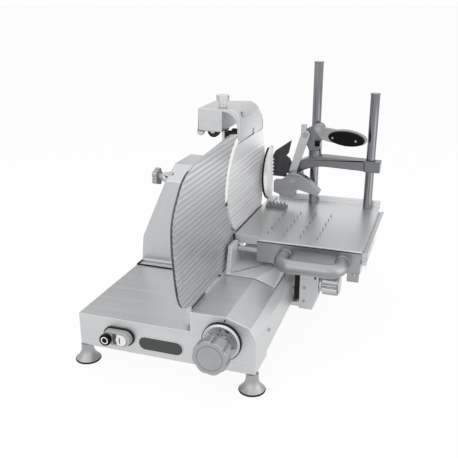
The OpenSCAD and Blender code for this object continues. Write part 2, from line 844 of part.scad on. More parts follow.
// The saddle's top follows the hump's sloping side: direction of that cut
bank = cross([saddle_r - slope_x, 0, -slope_drop * (saddle_r - slope_x) / (saddle_r + 1 - slope_x)], [0, 95, 40]);
bank_tilt = acos(bank[2] / norm(bank));
bank_turn = atan2(bank[1], bank[0]);
cheek_t = 11;
module carriage_saddle() color(silver) place() difference() {
    union() {
        difference() {
            intersection() {
                along_x(saddle_x, saddle_r) polygon([
                    [saddle_y, z_deck],
                    [saddle_y, z_hump + clear + 2],
                    [saddle_y + 95, saddle_top],
                    [block_y + block_d, saddle_top],
                    [block_y + block_d, z_deck]
                ]);
                along_y(saddle_y, block_y + block_d) polygon([
                    [saddle_x, z_hump + clear],
                    [slope_x + 0.2, z_hump + clear],
                    [saddle_r + 1, z_hump - slope_drop + clear + 1],
                    [saddle_r + 1, saddle_top],
                    [saddle_x, saddle_top]
                ]);
            }
            translate([slope_x, saddle_y, z_hump + clear + 2.5]) rotate([0, bank_tilt, bank_turn])
                translate([-300, -300, 0]) cube([600, 600, 200]);
        }
        box(saddle_r - 6, block_x, block_y + 25, block_y + block_d, saddle_top - 34, saddle_top);
        along_x(saddle_x, saddle_x + cheek_t) polygon([
            [saddle_y, z_hump + clear],
            [saddle_y + 19, z_table - 12],
            [feed_ys[0], z_table - 12],
            [feed_ys[0] + 2, z_table - 26],
            [feed_ys[0] + 14, z_table - 26],
            [feed_ys[0] + 14, z_hump + clear]
        ]);
    }
    rod_x(saddle_x - 1, saddle_x + cheek_t + 1, feed_ys[0], feed_z, feed_d + 2 * gap);
}

module lock_knob() color(silver) place() {
    rod_x(block_x1 - 19, block_x1 + 4, lock_y, lock_z, lock_stud_d);
    rod_x(block_x1 + gap, block_x1 + 9, lock_y, lock_z, 40);
    along_x(block_x1 + 8, block_x1 + 46) translate([lock_y, lock_z]) rotate(20) lobed(lock_d, 6, 18);
    rod_x(block_x1 + 46, block_x1 + 50, lock_y, lock_z, lock_d - 10);
}

end_plate_t = 6;
module feed_rods() color(steel) place() for (i = [0, 1])
    rod_x(table_x + 2 + i * 24, table_r - 1, feed_ys[i], feed_z, feed_d);

notch_x = table_x + 64;
notch_y = carriage_y + 19;
rim_h = 15;
rim_t = 10;
skirt_h = 24;
end_plate_low = z_table - 57;
module meat_table() color(pale) place() difference() {
    union() {
        translate([0, 0, z_table - table_t]) linear_extrude(table_t) polygon([
            [table_x, notch_y],
            [notch_x, notch_y],
            [notch_x, carriage_y],
            [table_r, carriage_y],
            [table_r, table_back],
            [table_x, table_back]
        ]);
        box(table_x, notch_x, notch_y, notch_y + table_t, z_table - lip_h, z_table);
        box(table_x, table_x + table_t, notch_y, notch_y + 245, z_table - skirt_h, z_table);
        box(table_x + 26, table_r, table_back - rim_t, table_back, z_table, z_table + rim_h);
        box(table_r - end_plate_t, table_r, carriage_y + 4, table_back - 15, end_plate_low, z_table);
    }
    for (y = feed_ys) rod_x(table_r - end_plate_t - 1, table_r + 1, y, feed_z, feed_d + 2 * seat);
}

apron_t = 4;
module table_apron() color(silver) place() along_y(carriage_y, carriage_y + apron_t) polygon([
    [notch_x, z_table - table_t],
    [notch_x, z_table - 57],
    [table_r - 30, z_table - 57],
    [table_r - 30, z_table - 77],
    [table_r - 3, z_table - 77],
    [table_r, z_table - table_t]
]);

// Carriage handle: one round bar bent twice, on two round flanges
handle_x = notch_x + 70;
handle_z = z_table - 31;
bend_r = 28;
module handle_bend(x, turn) {
    translate([x, carriage_y - handle_out + bend_r, handle_z]) rotate(turn)
        rotate_extrude(angle = 90) translate([bend_r, 0]) circle(d = grip_d);
}

module carriage_handle() color(silver) place() {
    x1 = handle_x + handle_l;
    for (x = [handle_x, x1]) {
        rod_y(carriage_y - handle_out + bend_r, carriage_y, x, handle_z, grip_d);
        rod_y(carriage_y - 5, carriage_y, x, handle_z, grip_d + 4);
    }
    rod_x(handle_x + bend_r, x1 - bend_r, carriage_y - handle_out, handle_z, grip_d);
    handle_bend(handle_x + bend_r, 180);
    handle_bend(x1 - bend_r, 270);
}

module side_rail() color(silver) place() difference() {
    union() {
        box(table_r, table_r + side_rail_w, carriage_y + 6, table_back - 40, z_table - 22, z_table - 3);
        rod_y(carriage_y - 4, carriage_y + 6, table_r + 7, z_table - 26, 10);
        box(table_r, table_r + 12, carriage_y + 2, carriage_y + 12, z_table - 32, z_table - 20);
    }
    box(table_r + 3, table_r + 5, carriage_y + 5, table_back - 39, z_table - 6, z_table);
}

// Product clamp

module clamp_posts() color(steel) place() {
    for (p = [[left_post_x, left_post_h], [right_post_x, right_post_h]]) {
        rod_z(z_table, z_table + p[1], p[0], post_y, post_d);
        rod_z(z_table + p[1] - 4, z_table + p[1] - 1, p[0], post_y, post_d + 2);
    }
}

comb_x = table_x + 16;
comb_y = post_y - 90;
module table_comb() color(steel) place() {
    box(comb_x, comb_x + 56, comb_y, comb_y + 24, z_table, z_table + 7);
    for (i = [0 : 4], j = [0, 1])
        translate([comb_x + 7 + i * 10.5, comb_y + 6 + j * 12, z_table + 7])
            cylinder(d1 = 7, d2 = 1.5, h = 9);
}

guard_r = 73;
guard_x = table_x + 4;
guard_plate_t = 5;
guard_y = post_y - 18;
guard_z = z_table + guard_r + 10;
module guard_outline(r) {
    intersection() {
        translate([guard_y, guard_z]) circle(r);
        translate([guard_y - 2 * r, z_table]) square([2 * r + 24, 3 * r]);
    }
}

module product_guard() color("white") place() {
    along_x(guard_x, guard_x + guard_plate_t) guard_outline(guard_r);
    box(guard_x, guard_x + guard_plate_t, guard_y - 20, guard_y + 24, z_table, z_table + 20);
    box(guard_x, guard_x + 20, guard_y - 20, guard_y + 24, z_table, z_table + 4);
}

edging_t = 3;
module guard_edging() color(dark) place() along_x(guard_x, guard_x + guard_plate_t) difference() {
    guard_outline(guard_r + edging_t);
    translate([guard_y, guard_z]) circle(guard_r);
    translate([guard_y - 22, z_table - 1]) square([200, 2 * guard_r + 40]);
}

// Points of the clamp, in X and Z
arm_low = z_table + arm_rise;
arm_h = 28;
arm_top = arm_low + arm_h;
arch_c = [left_post_x + 31, arm_low - 124];
shoe_pin = [left_post_x - 45, z_table + 76];
lever_pin = [left_post_x + 14, z_table + 214];
press_pin = [left_post_x - 22, z_table + 196];
pivot_d = 10;
sleeve_d = post_d + 11;
sleeve_top = z_table + 190;
arm_front = post_y - arm_t / 2;
yoke_y0 = post_y - post_d / 2 - 12;
yoke_y1 = post_y - post_d / 2 - 2;
layer_y0 = yoke_y0 - 10;
layer_y1 = yoke_y0 - 2;

// Cross arm: a straight bar that arches down to the shoe
module arm_bow() {
    intersection() {
        translate(arch_c) difference() {
            circle(124 + arm_h, $fn = 128);
            circle(124, $fn = 128);
        }
        translate([left_post_x - 56, z_table + 50]) square([87.5, 200]);
    }
}

module clamp_arm() color(silver) place() difference() {
    union() {
        along_y(arm_front, post_y + arm_t / 2) arm_bow();
        along_y(arm_front, post_y + arm_t / 2) polygon([
            [left_post_x + 31, arm_low],
            [right_post_x + 28, arm_low - 5],
            [right_post_x + 28, arm_top - 5],
            [left_post_x + 31, arm_top]
        ]);
        rod_y(arm_front, post_y + arm_t / 2, shoe_pin[0], shoe_pin[1], 26);
        box(right_post_x - 14, right_post_x + 28, arm_front - 2, post_y + arm_t / 2,
            arm_low - 5, arm_top - 5);
        rod_z(arm_low, sleeve_top, left_post_x, post_y, sleeve_d);
        along_y(yoke_y0, yoke_y1) link(lever_pin, [left_post_x, sleeve_top - 22], 15, 17);
        along_y(yoke_y0, yoke_y1) link(lever_pin, press_pin, 15, 12);
        along_y(yoke_y0, yoke_y1) link(press_pin, [left_post_x - 4, sleeve_top - 26], 12, 13);
        box(left_post_x - 14, left_post_x + 14, yoke_y0, post_y - sleeve_d / 2 + 6,
            sleeve_top - 38, sleeve_top - 4);
    }
    rod_z(arm_low - 60, sleeve_top + 1, left_post_x, post_y, post_d + 2 * fit);
    rod_z(arm_low - 20, arm_top + 10, right_post_x, post_y, post_d + 4 * fit);
    rod_y(arm_front - 1, post_y + arm_t / 2 + 1, shoe_pin[0], shoe_pin[1], pivot_d + 2 * seat);
    for (p = [lever_pin, press_pin]) rod_y(yoke_y0 - 1, yoke_y1 + 1, p[0], p[1], pivot_d + 2 * seat);
}

// Stop block on the front of the yoke, under the lever
module clamp_collar() color(dark) place()
    box(left_post_x + 4, left_post_x + 18, yoke_y0 - 9, yoke_y0 - seat, sleeve_top - 24, sleeve_top - 9);

shoe_y1 = layer_y0 - 2;
shoe_y0 = shoe_y1 - 26;
module headed_pin(y0, y1, p) {
    rod_y(y0, y1, p[0], p[1], pivot_d);
    rod_y(y0 - 3, y0, p[0], p[1], pivot_d + 6);
}

module clamp_pins() color(steel) place() {
    headed_pin(layer_y0 - gap, yoke_y1, lever_pin);
    headed_pin(layer_y0 - gap, yoke_y1, press_pin);
    headed_pin(shoe_y0 - gap, post_y + arm_t / 2, shoe_pin);
}

// Oval outline of the grip, about its middle
module oval(l, h) {
    polygon([for (i = [0 : 47]) [l / 2 * cos(i * 7.5), h / 2 * sin(i * 7.5)]]);
}

grip_at = lever_pin + [74, -21];
grip_turn = -5;
module clamp_lever() color(steel) place() difference() {
    union() {
        rod_y(layer_y0, layer_y1, lever_pin[0], lever_pin[1], 28);
        along_y(layer_y0, layer_y1) polygon([
            lever_pin + [0, 14],
            lever_pin + [14, 5],
            lever_pin + [40, 2],
            grip_at + [4, lever_grip_h / 2],
            grip_at + [-4, -lever_grip_h / 2],
            lever_pin + [26, -32],
            lever_pin + [8, -28],
            lever_pin + [-6, -12]
        ]);
        along_y(layer_y0, layer_y1) translate(grip_at + [2, 2]) rotate(grip_turn)
            oval(lever_grip_l + 8, lever_grip_h + 5);
    }
    rod_y(layer_y0 - 1, layer_y1 + 1, lever_pin[0], lever_pin[1], pivot_d + 2 * fit);
}

scale_t = 6;
module lever_grip() color(dark) place() for (y = [layer_y0 - scale_t, layer_y1])
    along_y(y, y + scale_t) translate(grip_at) rotate(grip_turn) oval(lever_grip_l, lever_grip_h);

press_end = press_pin + [-31, -102];
module press_bar() {
    link(press_pin, press_end, 12, 10);
    translate(press_pin + [-12, 2]) square([14, 26]);
}

module press_arm() color(silver) place() difference() {
    along_y(layer_y0, layer_y1) press_bar();
    rod_y(layer_y0 - 1, layer_y1 + 1, press_pin[0], press_pin[1], pivot_d + 2 * fit);
}

press_teeth = 5;
module press_plate() color(dark) place() along_y(layer_y0 + 1, layer_y1 - 1) difference() {
    polygon([
        press_end + [-6, 85],
        press_end + [-51, 52],
        press_end + [-57, 38],
        press_end + [-57, -18],
        press_end + [-18, -19],
        press_end + [-17, -8],
        press_end + [-6, -7],
        press_end + [4, 6],
        press_end + [-10, 34],
        press_end + [-20, 41],
        press_end + [-13, 49]
    ]);
    press_bar();
    for (i = [0 : press_teeth - 1])
        translate(press_end + [-57, 28 - i * 10]) rotate(45) square(5, center = true);
}

// Curved shoe: a bowed limb to the right of the pin and a toothed block to its left
shoe_top = through([[-76, -8], [-54, -7], [-32, -3], [-12, 17], [11, 18], [36, 7], [57, -11], [75, -27],
    [80, -34]], 5);
shoe_under = through([[75, -30], [68, -39], [42, -33], [18, -27], [8, -29], [2, -36]], 4);
module press_shoe() color(silver) place() difference() {
    union() {
        along_y(shoe_y0, shoe_y1) translate(shoe_pin)
            polygon(concat(shoe_top, [[75, -27]], shoe_under, [[8, -29], [5, -47], [-22, -49], [-54, -38]]));
    }
    rod_y(shoe_y0 - 1, shoe_y1 + 1, shoe_pin[0], shoe_pin[1], pivot_d + 2 * fit);
    for (i = [0 : 3])
        translate([shoe_pin[0] - 17 + i * 6, shoe_y0 - 1, shoe_pin[1] - 49]) rotate([0, 45, 0])
            translate([-1.5, 0, -1.5]) cube([3, 40, 3]);
}

// Sharpener

sharp_top = axis_z + blade_d / 2 + 67;
sharp_y = axis_y - 37;
sharp_x = blade_x - 93.5;
leg_x1 = face_x + rib_h;
leg_x0 = leg_x1 - bridge_t;
corner_r = 22;
arch_r = 36;
block_x2 = sharp_x + block_w;
block_z = sharp_top - block_h;
seam_z = axis_z + cover_seam;
spindle_d = 8;
wheel_y = axis_y + 3;
wheel_z = axis_z + 122;
wheel_x = blade_x - 18.5;
hone_pin_d = 6;
hone_x = sharp_x + 34;
hone_y = sharp_y + 20;
hone_z = block_z - 2;
screw_x = block_x2 - 9;
screw_y = sharp_y + 32;

// Front outline of the bridge: flat top, round outer corner, leg down to the blade cover
function arc(c, r, a0, a1, n) = [for (i = [0 : n]) let (a = a0 + (a1 - a0) * i / n)
    c + r * [cos(a), sin(a)]];
module bridge_outline() {
    polygon(concat(
        [[sharp_x, block_z], [sharp_x, sharp_top]],
        arc([leg_x1 - corner_r, sharp_top - corner_r], corner_r, 90, 0, 8),
        [[leg_x1, seam_z + seat], [leg_x0, seam_z + seat]],
        arc([leg_x0 - arch_r, sharp_top - bridge_t - arch_r], arch_r, 0, 90, 12),
        [[block_x2, sharp_top - bridge_t], [block_x2, block_z]]
    ));
}

// Side outline of the bridge
module bridge_side() {
    polygon([
        [sharp_y - 1, seam_z],
        [sharp_y - 1, sharp_top + 1],
        [sharp_y + 142, sharp_top + 1],
        [sharp_y + 163, sharp_top - 22],
        [sharp_y + 188, sharp_top - 40],
        [sharp_y + 194, sharp_top - 60],
        [sharp_y + 195, seam_z]
    ]);
}

module sharpener() color(silver) place() difference() {
    union() {
        intersection() {
            along_y(sharp_y, sharp_y + 200) bridge_outline();
            along_x(sharp_x - 1, leg_x1 + 1) bridge_side();
            translate([0, 0, seam_z]) linear_extrude(150) polygon([
                [sharp_x - 1, sharp_y - 1],
                [leg_x1 + 1, sharp_y - 1],
                [leg_x1 + 1, sharp_y + 205],
                [leg_x1 - 8, sharp_y + 160],
                [leg_x1 - 14, sharp_y + 146],
                [sharp_x - 1, sharp_y + bridge_d]
            ]);
        }
        box(block_x2 - 8, block_x2 - 0.5, wheel_y - 20, wheel_y + 12, wheel_z - 18, block_z + 2);
        rod_x(block_x2 - 4, wheel_x + 16, wheel_y, wheel_z, spindle_d);
        rod_y(sharp_y + 0.5, sharp_y + 14, sharp_x + 5, block_z - 3, 18);
        rod_y(hone_y - 12, hone_y + 12, hone_x, hone_z, hone_pin_d);
        for (y = [hone_y - 12, hone_y + 8]) box(hone_x - 6, hone_x + 6, y, y + 4, hone_z - 4, block_z + 2);
    }
    rod_z(sharp_top - 22, sharp_top + 1, screw_x, screw_y, spindle_d + 2 * fit);
    rod_x(leg_x1 - 4, leg_x1 + 1, sharp_y + 27, sharp_top - 14, 13);
    rod_x(leg_x1 - 3, leg_x1 + 1, sharp_y + 114, sharp_top - 70, 13);
    difference() {
        box(hone_x - hone_d / 2 - 2, hone_x + hone_d / 2 + 2, hone_y - 7, hone_y + 7,
            block_z - 1, hone_z + hone_d / 2 + 2);
        rod_y(hone_y - 12, hone_y + 12, hone_x, hone_z, hone_pin_d);
    }
}

module grinding_wheel() color(dark) place() difference() {
    union() {
        rod_x(wheel_x, wheel_x + 14, wheel_y, wheel_z, wheel_d);
        rod_x(block_x2 + 1, wheel_x, wheel_y, wheel_z, 24);
    }
    rod_x(block_x2, wheel_x + 15, wheel_y, wheel_z, spindle_d + 2 * fit);
}

module deburring_wheel() color(dark) place() difference() {
    rod_y(hone_y - 6, hone_y + 6, hone_x, hone_z, hone_d);
    rod_y(hone_y - 7, hone_y + 7, hone_x, hone_z, hone_pin_d + 2 * fit);
}

module sharpener_knob() color(steel) place() union() {
    rod_z(sharp_top - 20, sharp_top + 2, screw_x, screw_y, spindle_d);
    rod_z(sharp_top + gap, sharp_top + 7, screw_x, screw_y, 21);
    rod_z(sharp_top + 7, sharp_top + 9, screw_x, screw_y, 17);
    rod_z(sharp_top + 9, sharp_top + 17, screw_x, screw_y, 21);
    rod_z(sharp_top + 16, sharp_top + 30, screw_x, screw_y, screw_head_d);
}

base_housing();
base_cover();
foot_bells();
foot_pads();
motor_column();
bearing_hub();
blade_bearings();
motor();
drive_belt();
motor_shaft();
motor_pulley();
blade_shaft();
blade_pulley();
blade();
blade_guard();
blade_cover();
tie_rod();
gauge_plate();
gauge_carrier();
gauge_rods();
gauge_bushes();
gauge_follower();
thickness_knob();
thickness_dial();
scroll_cam();
switch_housing();
switch_block();
stop_button();
start_button();
control_board();
cable_gland();
carriage_rail();
rail_brackets();
carriage_arm();
rail_bushes();
carriage_block();
carriage_saddle();
lock_knob();
feed_rods();
meat_table();
table_apron();
carriage_handle();
side_rail();
clamp_posts();
table_comb();
product_guard();
guard_edging();
clamp_arm();
clamp_collar();
clamp_pins();
clamp_lever();
lever_grip();
press_arm();
press_plate();
press_shoe();
sharpener();
grinding_wheel();
deburring_wheel();
sharpener_knob();
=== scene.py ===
# %% [markdown]
# # An upright deli slicer
# A round blade stands upright in the middle, a ribbed gauge plate sets the slice in front of it, and the
# meat table slides past on the right. The machine is nearly all bare metal, so its looks depend on edges
# that catch the light and on metals that differ a little from each other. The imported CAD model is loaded
# first and stays where it is.

# %% Load the frame
import json
import math

import bmesh
import bpy
from mathutils import Matrix, Vector


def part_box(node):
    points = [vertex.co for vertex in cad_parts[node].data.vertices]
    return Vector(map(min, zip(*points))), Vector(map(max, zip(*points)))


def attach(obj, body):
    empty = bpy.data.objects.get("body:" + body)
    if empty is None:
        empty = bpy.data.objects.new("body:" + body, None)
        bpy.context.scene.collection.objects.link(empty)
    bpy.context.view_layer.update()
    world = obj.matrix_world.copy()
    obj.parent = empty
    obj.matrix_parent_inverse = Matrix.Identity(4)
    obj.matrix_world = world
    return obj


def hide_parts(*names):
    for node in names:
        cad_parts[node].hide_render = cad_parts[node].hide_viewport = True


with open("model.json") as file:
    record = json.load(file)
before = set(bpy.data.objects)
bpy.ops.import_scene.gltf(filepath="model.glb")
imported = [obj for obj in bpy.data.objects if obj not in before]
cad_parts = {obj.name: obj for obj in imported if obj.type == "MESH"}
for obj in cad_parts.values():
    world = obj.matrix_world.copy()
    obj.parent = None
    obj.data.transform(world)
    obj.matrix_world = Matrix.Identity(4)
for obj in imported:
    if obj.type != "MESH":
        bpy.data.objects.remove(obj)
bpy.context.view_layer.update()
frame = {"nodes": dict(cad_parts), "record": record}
MM = 1000  # millimetres in a metre
nodes = frame["nodes"]
bodies = frame["record"]["behaviour"]["bodies"]
body_of = {node: body for body, members in bodies.items() for node in members}

# %% [markdown]
# ## Where the picture is taken from
# The photograph's straight edges meet in three vanishing points. They give the camera's turn, its tilt and
# its focal length, and the base's corners then give its place.

# %% Camera
lens_mm, sensor_mm = 52.14, 36.0
eye_place = (0.46845, -1.4319, 0.8178)
eye_tilt, eye_turn = 20.07, 19.0  # degrees down, and degrees to the left
nearest, farthest = 0.05, 30

scene = bpy.context.scene
eye = bpy.data.cameras.new("studio_camera")
eye.sensor_width = sensor_mm
eye.lens = lens_mm
eye.clip_start, eye.clip_end = nearest, farthest
camera = bpy.data.objects.new("studio_camera", eye)
camera.location = eye_place
camera.rotation_euler = (math.radians(90 - eye_tilt), 0, math.radians(eye_turn))
scene.collection.objects.link(camera)
scene.camera = camera
print("camera at", eye_place, "with a lens of", lens_mm, "mm")

# %% [markdown]
# ## Colours and nodes
# Colours are picked as sRGB hex values, as a paint program shows them, but shaders add light in linear
# numbers. One function does that change for every colour. Another one adds a node, sets it and links it, so
# that each material below reads as a list of what it is made of.

# %% Colour and node helpers
def linear(code):
    # The sRGB curve: a straight stretch for the darkest values, and a power above it
    values = [int(code[i:i + 2], 16) / 255 for i in (1, 3, 5)]
    return tuple(v / 12.92 if v <= 0.04045 else ((v + 0.055) / 1.055) ** 2.4 for v in values) + (1.0,)


def darker(colour, share):
    return tuple(v * (1 - share) for v in colour[:3]) + (1.0,)


def add(tree, kind, inputs=None, **settings):
    node = tree.nodes.new(kind)
    for key, value in settings.items():
        setattr(node, key, value)
    for key, value in (inputs or {}).items():
        socket = node.inputs[key]
        if isinstance(value, bpy.types.NodeSocket):
            tree.links.new(value, socket)
        else:
            socket.default_value = value
    return node


def blank(name):
    made = bpy.data.materials.new(name)
    made.use_nodes = True
    made.node_tree.nodes.clear()
    return made, made.node_tree


# A Mix node has one set of sockets for each kind of value: these are its factor and its colours
FACTOR, COLOUR_A, COLOUR_B, COLOUR_OUT = 0, 6, 7, 2
print("mid grey is", [round(v, 3) for v in linear("#808080")])

# %% [markdown]
# ## Metals
# Bare metal has almost no colour of its own: it shows its surroundings, spread out by its surface. What
# tells one metal from another is how wide that spread is and which way the tool marks run. So one function
# makes every metal from a noise that is squeezed across the marks and drawn out along them, and the numbers
# come from each piece's making. Anodised and blasted aluminium also has a pale oxide skin that scatters
# light, so it isn't wholly metallic. Real tool marks are finer than the picture can show, so they are drawn
# between half a millimetre and four millimetres wide.

# %% How a metal is made
NOISE_LOW, NOISE_HIGH = 0.7, 1.3  # two noises added together stay mostly between these
BAND_SCALE = 0.15  # broad bands: about seven marks wide
MARK_STRENGTH = 0.35
cad_materials = len(bpy.data.materials)  # those that came with the frame, which are not counted below


def metal(name, code, rough, mark_mm, drawn=(1, 1, 1), spread=0.06, tint=0.08, depth_mm=0.02, bare=1.0):
    made, tree = blank(name)
    light = linear(code)
    place = add(tree, "ShaderNodeTexCoord").outputs["Object"]
    scale = [MM / mark_mm / d for d in drawn]
    squeezed = add(tree, "ShaderNodeMapping", {"Vector": place, "Scale": scale}).outputs[0]
    marks = add(tree, "ShaderNodeTexNoise", {"Vector": squeezed, "Scale": 1.0, "Detail": 3.0}).outputs[0]
    bands = add(tree, "ShaderNodeTexNoise",
                {"Vector": squeezed, "Scale": BAND_SCALE, "Detail": 2.0}).outputs[0]
    both = add(tree, "ShaderNodeMath", {0: marks, 1: bands}, operation="ADD").outputs[0]
    reach = {"Value": both, "From Min": NOISE_LOW, "From Max": NOISE_HIGH}
    sheen = {"To Min": rough - spread, "To Max": rough + spread}
    gloss = add(tree, "ShaderNodeMapRange", {**reach, **sheen}).outputs[0]
    worn = add(tree, "ShaderNodeMapRange", reach).outputs[0]
    colour = add(tree, "ShaderNodeMix", {FACTOR: worn, COLOUR_A: darker(light, tint), COLOUR_B: light},
                 data_type="RGBA").outputs[COLOUR_OUT]
    relief = add(tree, "ShaderNodeBump",
                 {"Height": marks, "Strength": MARK_STRENGTH, "Distance": depth_mm / MM}).outputs[0]
    skin = add(tree, "ShaderNodeBsdfPrincipled",
               {"Base Color": colour, "Metallic": bare, "Roughness": gloss, "Normal": relief}).outputs[0]
    add(tree, "ShaderNodeOutputMaterial", {"Surface": skin})
    return made


# %% Finishes of the base, the table and the plates
# Cast and satin-polished: a soft, even sheen with fine marks in no one direction
casting = metal("polished_aluminium_casting", "#C6C7C9", rough=0.36, mark_mm=2.2, bare=0.85)
# Anodised sheet of the base, brushed from left to right: a pale sheen with streaks along X
brushed_base = metal("brushed_anodised_aluminium", "#D1D2D3", rough=0.4, mark_mm=1.1, drawn=(60, 1, 1),
                     spread=0.08, tint=0.1, bare=0.75)
# Brushed stainless sheet of the table: streaks along Y, so fine that the sheet looks smooth
brushed_table = metal("brushed_stainless_sheet", "#D4D5D6", rough=0.35, mark_mm=2.0, drawn=(1, 60, 1),
                      spread=0.02, tint=0.04, depth_mm=0.004)
# Extruded and anodised plates: streaks along Y, as the ribs run, and the cover much paler than the gauge
cover_metal = metal("anodised_cover_plate", "#F0F0F1", rough=0.42, mark_mm=1.4, drawn=(1, 40, 1),
                    spread=0.07, tint=0.1, bare=0.55)
gauge_metal = metal("anodised_gauge_plate", "#BDBEC0", rough=0.4, mark_mm=1.4, drawn=(1, 40, 1),
                    spread=0.07, tint=0.12, bare=0.75)
# Painted highlight: the crests of the gauge's ribs are painted brighter than the plate
crest_highlight_metal = metal("rib_crest_painted_highlight", "#D2D3D5", rough=0.34, mark_mm=1.4, drawn=(1, 40, 1), tint=0.1,
                    bare=0.75)
# Painted shade: the grooves of the cover plate are painted a little darker than its crests
groove_shade_metal = metal("cover_groove_painted_shade", "#E4E5E6", rough=0.42, mark_mm=1.4, drawn=(1, 40, 1),
                     spread=0.07, tint=0.1, bare=0.55)
print(len(bpy.data.materials) - cad_materials, "metals so far")

# %% Finishes of the bars, the castings and the small pieces
# Drawn steel of the apron, the lever and the press shoe: mid grey, with streaks along X
drawn_steel = metal("drawn_steel", "#A2A3A5", rough=0.3, mark_mm=2.0, drawn=(40, 1, 1), spread=0.05,
                    tint=0.14, depth_mm=0.006)
# Tumbled steel of the clamp's cross arm, the comb and the spikes: dark grey, with streaks along X
clamp_steel = metal("tumbled_clamp_steel", "#7E7F82", rough=0.32, mark_mm=2.0, drawn=(40, 1, 1),
                    spread=0.05, tint=0.14, depth_mm=0.006)
# Tumbled castings of the front knob, the tie rod's knob and the feet: grey, with a wide, dull highlight
knob_metal = metal("tumbled_aluminium", "#A9AAAC", rough=0.42, mark_mm=1.8, spread=0.07, bare=0.9)
# Ground and polished bar of the rods and the rail: nearly a mirror
bright_bar = metal("polished_steel_bar", "#C4C5C7", rough=0.12, mark_mm=4.0, drawn=(1, 1, 60), spread=0.03,
                   tint=0.06, depth_mm=0.002)
# The posts are such a bar painted darker, with dark and bright streaks side by side: painted reflections of
# their surroundings
post_bar_painted_dark = metal("post_steel_painted_reflection", "#858689", rough=0.14, mark_mm=3.0, drawn=(1, 1, 80), spread=0.04,
                 tint=0.2, depth_mm=0.0005)
# Bead-blasted castings of the carriage: a matt oxide skin that scatters most of the light
blasted = metal("blasted_aluminium_casting", "#D2D3D4", rough=0.5, mark_mm=1.6, spread=0.05, bare=0.35)
# Satin-ground bar of the hand grip: one soft streak of light along it
satin_bar = metal("satin_ground_bar", "#A0A1A3", rough=0.4, mark_mm=2.0, drawn=(40, 1, 1), spread=0.05,
                  tint=0.12, depth_mm=0.004)
# Turned steel of pins, screws and shafts: small, tight highlights
turned_steel = metal("turned_steel", "#B0B1B3", rough=0.26, mark_mm=0.8, spread=0.05)
# Matt nickel plate of the thumb screw and the rim on the front panel: pale and silky
nickel = metal("matt_nickel_plate", "#D6D6D4", rough=0.36, mark_mm=1.2, spread=0.04, bare=0.8)
# Painted highlight along the gauge plate's lip: plain white, almost white from every side
lip_highlight_metal = metal("lip_painted_highlight", "#FFFFFF", rough=0.4, mark_mm=1.2, spread=0.04, tint=0.02,
                    bare=0.1)
# Ground blade steel: bright, with clear reflections
blade_steel = metal("ground_blade_steel", "#DADBDD", rough=0.14, mark_mm=0.8, spread=0.04, tint=0.04,
                    depth_mm=0.005)
# Painted shade on the gauge plate's sawn edge: a dull dark line that draws the plate's outline
edge_shade_steel = metal("gauge_edge_painted_shade", "#5B5C5E", rough=0.42, mark_mm=1.6, spread=0.08, tint=0.3,
                   depth_mm=0.05)
# Phosphated steel of the toothed plate: darker still, with upright streaks
tooth_steel = metal("phosphated_steel", "#505153", rough=0.4, mark_mm=3.0, drawn=(1, 1, 12), spread=0.08,
                    tint=0.45, depth_mm=0.05)
# Sintered bronze of the bushes: warm and dull
bronze = metal("sintered_bronze", "#B88E4A", rough=0.42, mark_mm=0.6)
print(len(bpy.data.materials) - cad_materials, "metals")

# %% [markdown]
# ## Plastics, rubber and paint
# Moulded plastic is a coloured solid under a thin clear reflection, and its mould leaves a fine grain that
# breaks that reflection up. Rubber is the same with a duller grain. One function makes them all from
# colour, gloss and grain size, and soft clouds of gloss keep large faces from looking computed.

# %% Moulded and painted finishes
CLOUDS = 22.0  # in a metre: one about every 45 mm
CLOUD_LOW, CLOUD_HIGH = 0.3, 0.7
CLOUD_SHEEN = 0.06
GRAIN_STRENGTH = 0.4


def moulded(name, code, rough, grain_mm, depth_mm=0.03, fleck=0.12, bend=1.5):
    made, tree = blank(name)
    light = linear(code)
    place = add(tree, "ShaderNodeTexCoord").outputs["Object"]
    grain = add(tree, "ShaderNodeTexNoise",
                {"Vector": place, "Scale": MM / grain_mm, "Detail": 2.0}).outputs[0]
    cloud = add(tree, "ShaderNodeTexNoise", {"Vector": place, "Scale": CLOUDS, "Detail": 3.0}).outputs[0]
    colour = add(tree, "ShaderNodeMix", {FACTOR: cloud, COLOUR_A: darker(light, fleck), COLOUR_B: light},
                 data_type="RGBA").outputs[COLOUR_OUT]
    gloss = add(tree, "ShaderNodeMapRange", {
        "Value": cloud, "From Min": CLOUD_LOW, "From Max": CLOUD_HIGH,
        "To Min": rough - CLOUD_SHEEN, "To Max": rough + CLOUD_SHEEN}).outputs[0]
    relief = add(tree, "ShaderNodeBump",
                 {"Height": grain, "Strength": GRAIN_STRENGTH, "Distance": depth_mm / MM}).outputs[0]
    skin = add(tree, "ShaderNodeBsdfPrincipled",
               {"Base Color": colour, "Roughness": gloss, "IOR": bend, "Normal": relief}).outputs[0]
    add(tree, "ShaderNodeOutputMaterial", {"Surface": skin})
    return made


# Phenolic grip scales, stop block and stop button: deep black, half gloss
black_plastic = moulded("black_moulded_plastic", "#090909", rough=0.34, grain_mm=0.9, bend=1.2)
# Polyethylene guard and start button: white and waxy
white_plastic = moulded("white_polyethylene", "#EDEDEB", rough=0.36, grain_mm=1.2, fleck=0.05)
# Grey switch housing, and a darker grey between its buttons; the same darker grey is painted shade of a
# groove on the knob's face
grey_plastic = moulded("grey_moulded_plastic", "#B4B5B6", rough=0.38, grain_mm=0.8)
dark_grey_and_groove_shade = moulded("dark_grey_plastic_and_groove_shade", "#55565A", rough=0.4, grain_mm=0.8)
# Rubber pads, belt, seals and edgings: dull black; the same black is painted shade along the table's edge,
# under the column and round the dial, and partly round the switch
rubber_and_gap_shade = moulded("black_rubber_and_painted_shade", "#111111", rough=0.62, grain_mm=0.7, depth_mm=0.06, bend=1.35)
# Bonded grit of the sharpening wheels: rough and speckled
grit = moulded("bonded_grit", "#232324", rough=0.75, grain_mm=0.5, depth_mm=0.2, fleck=0.4)
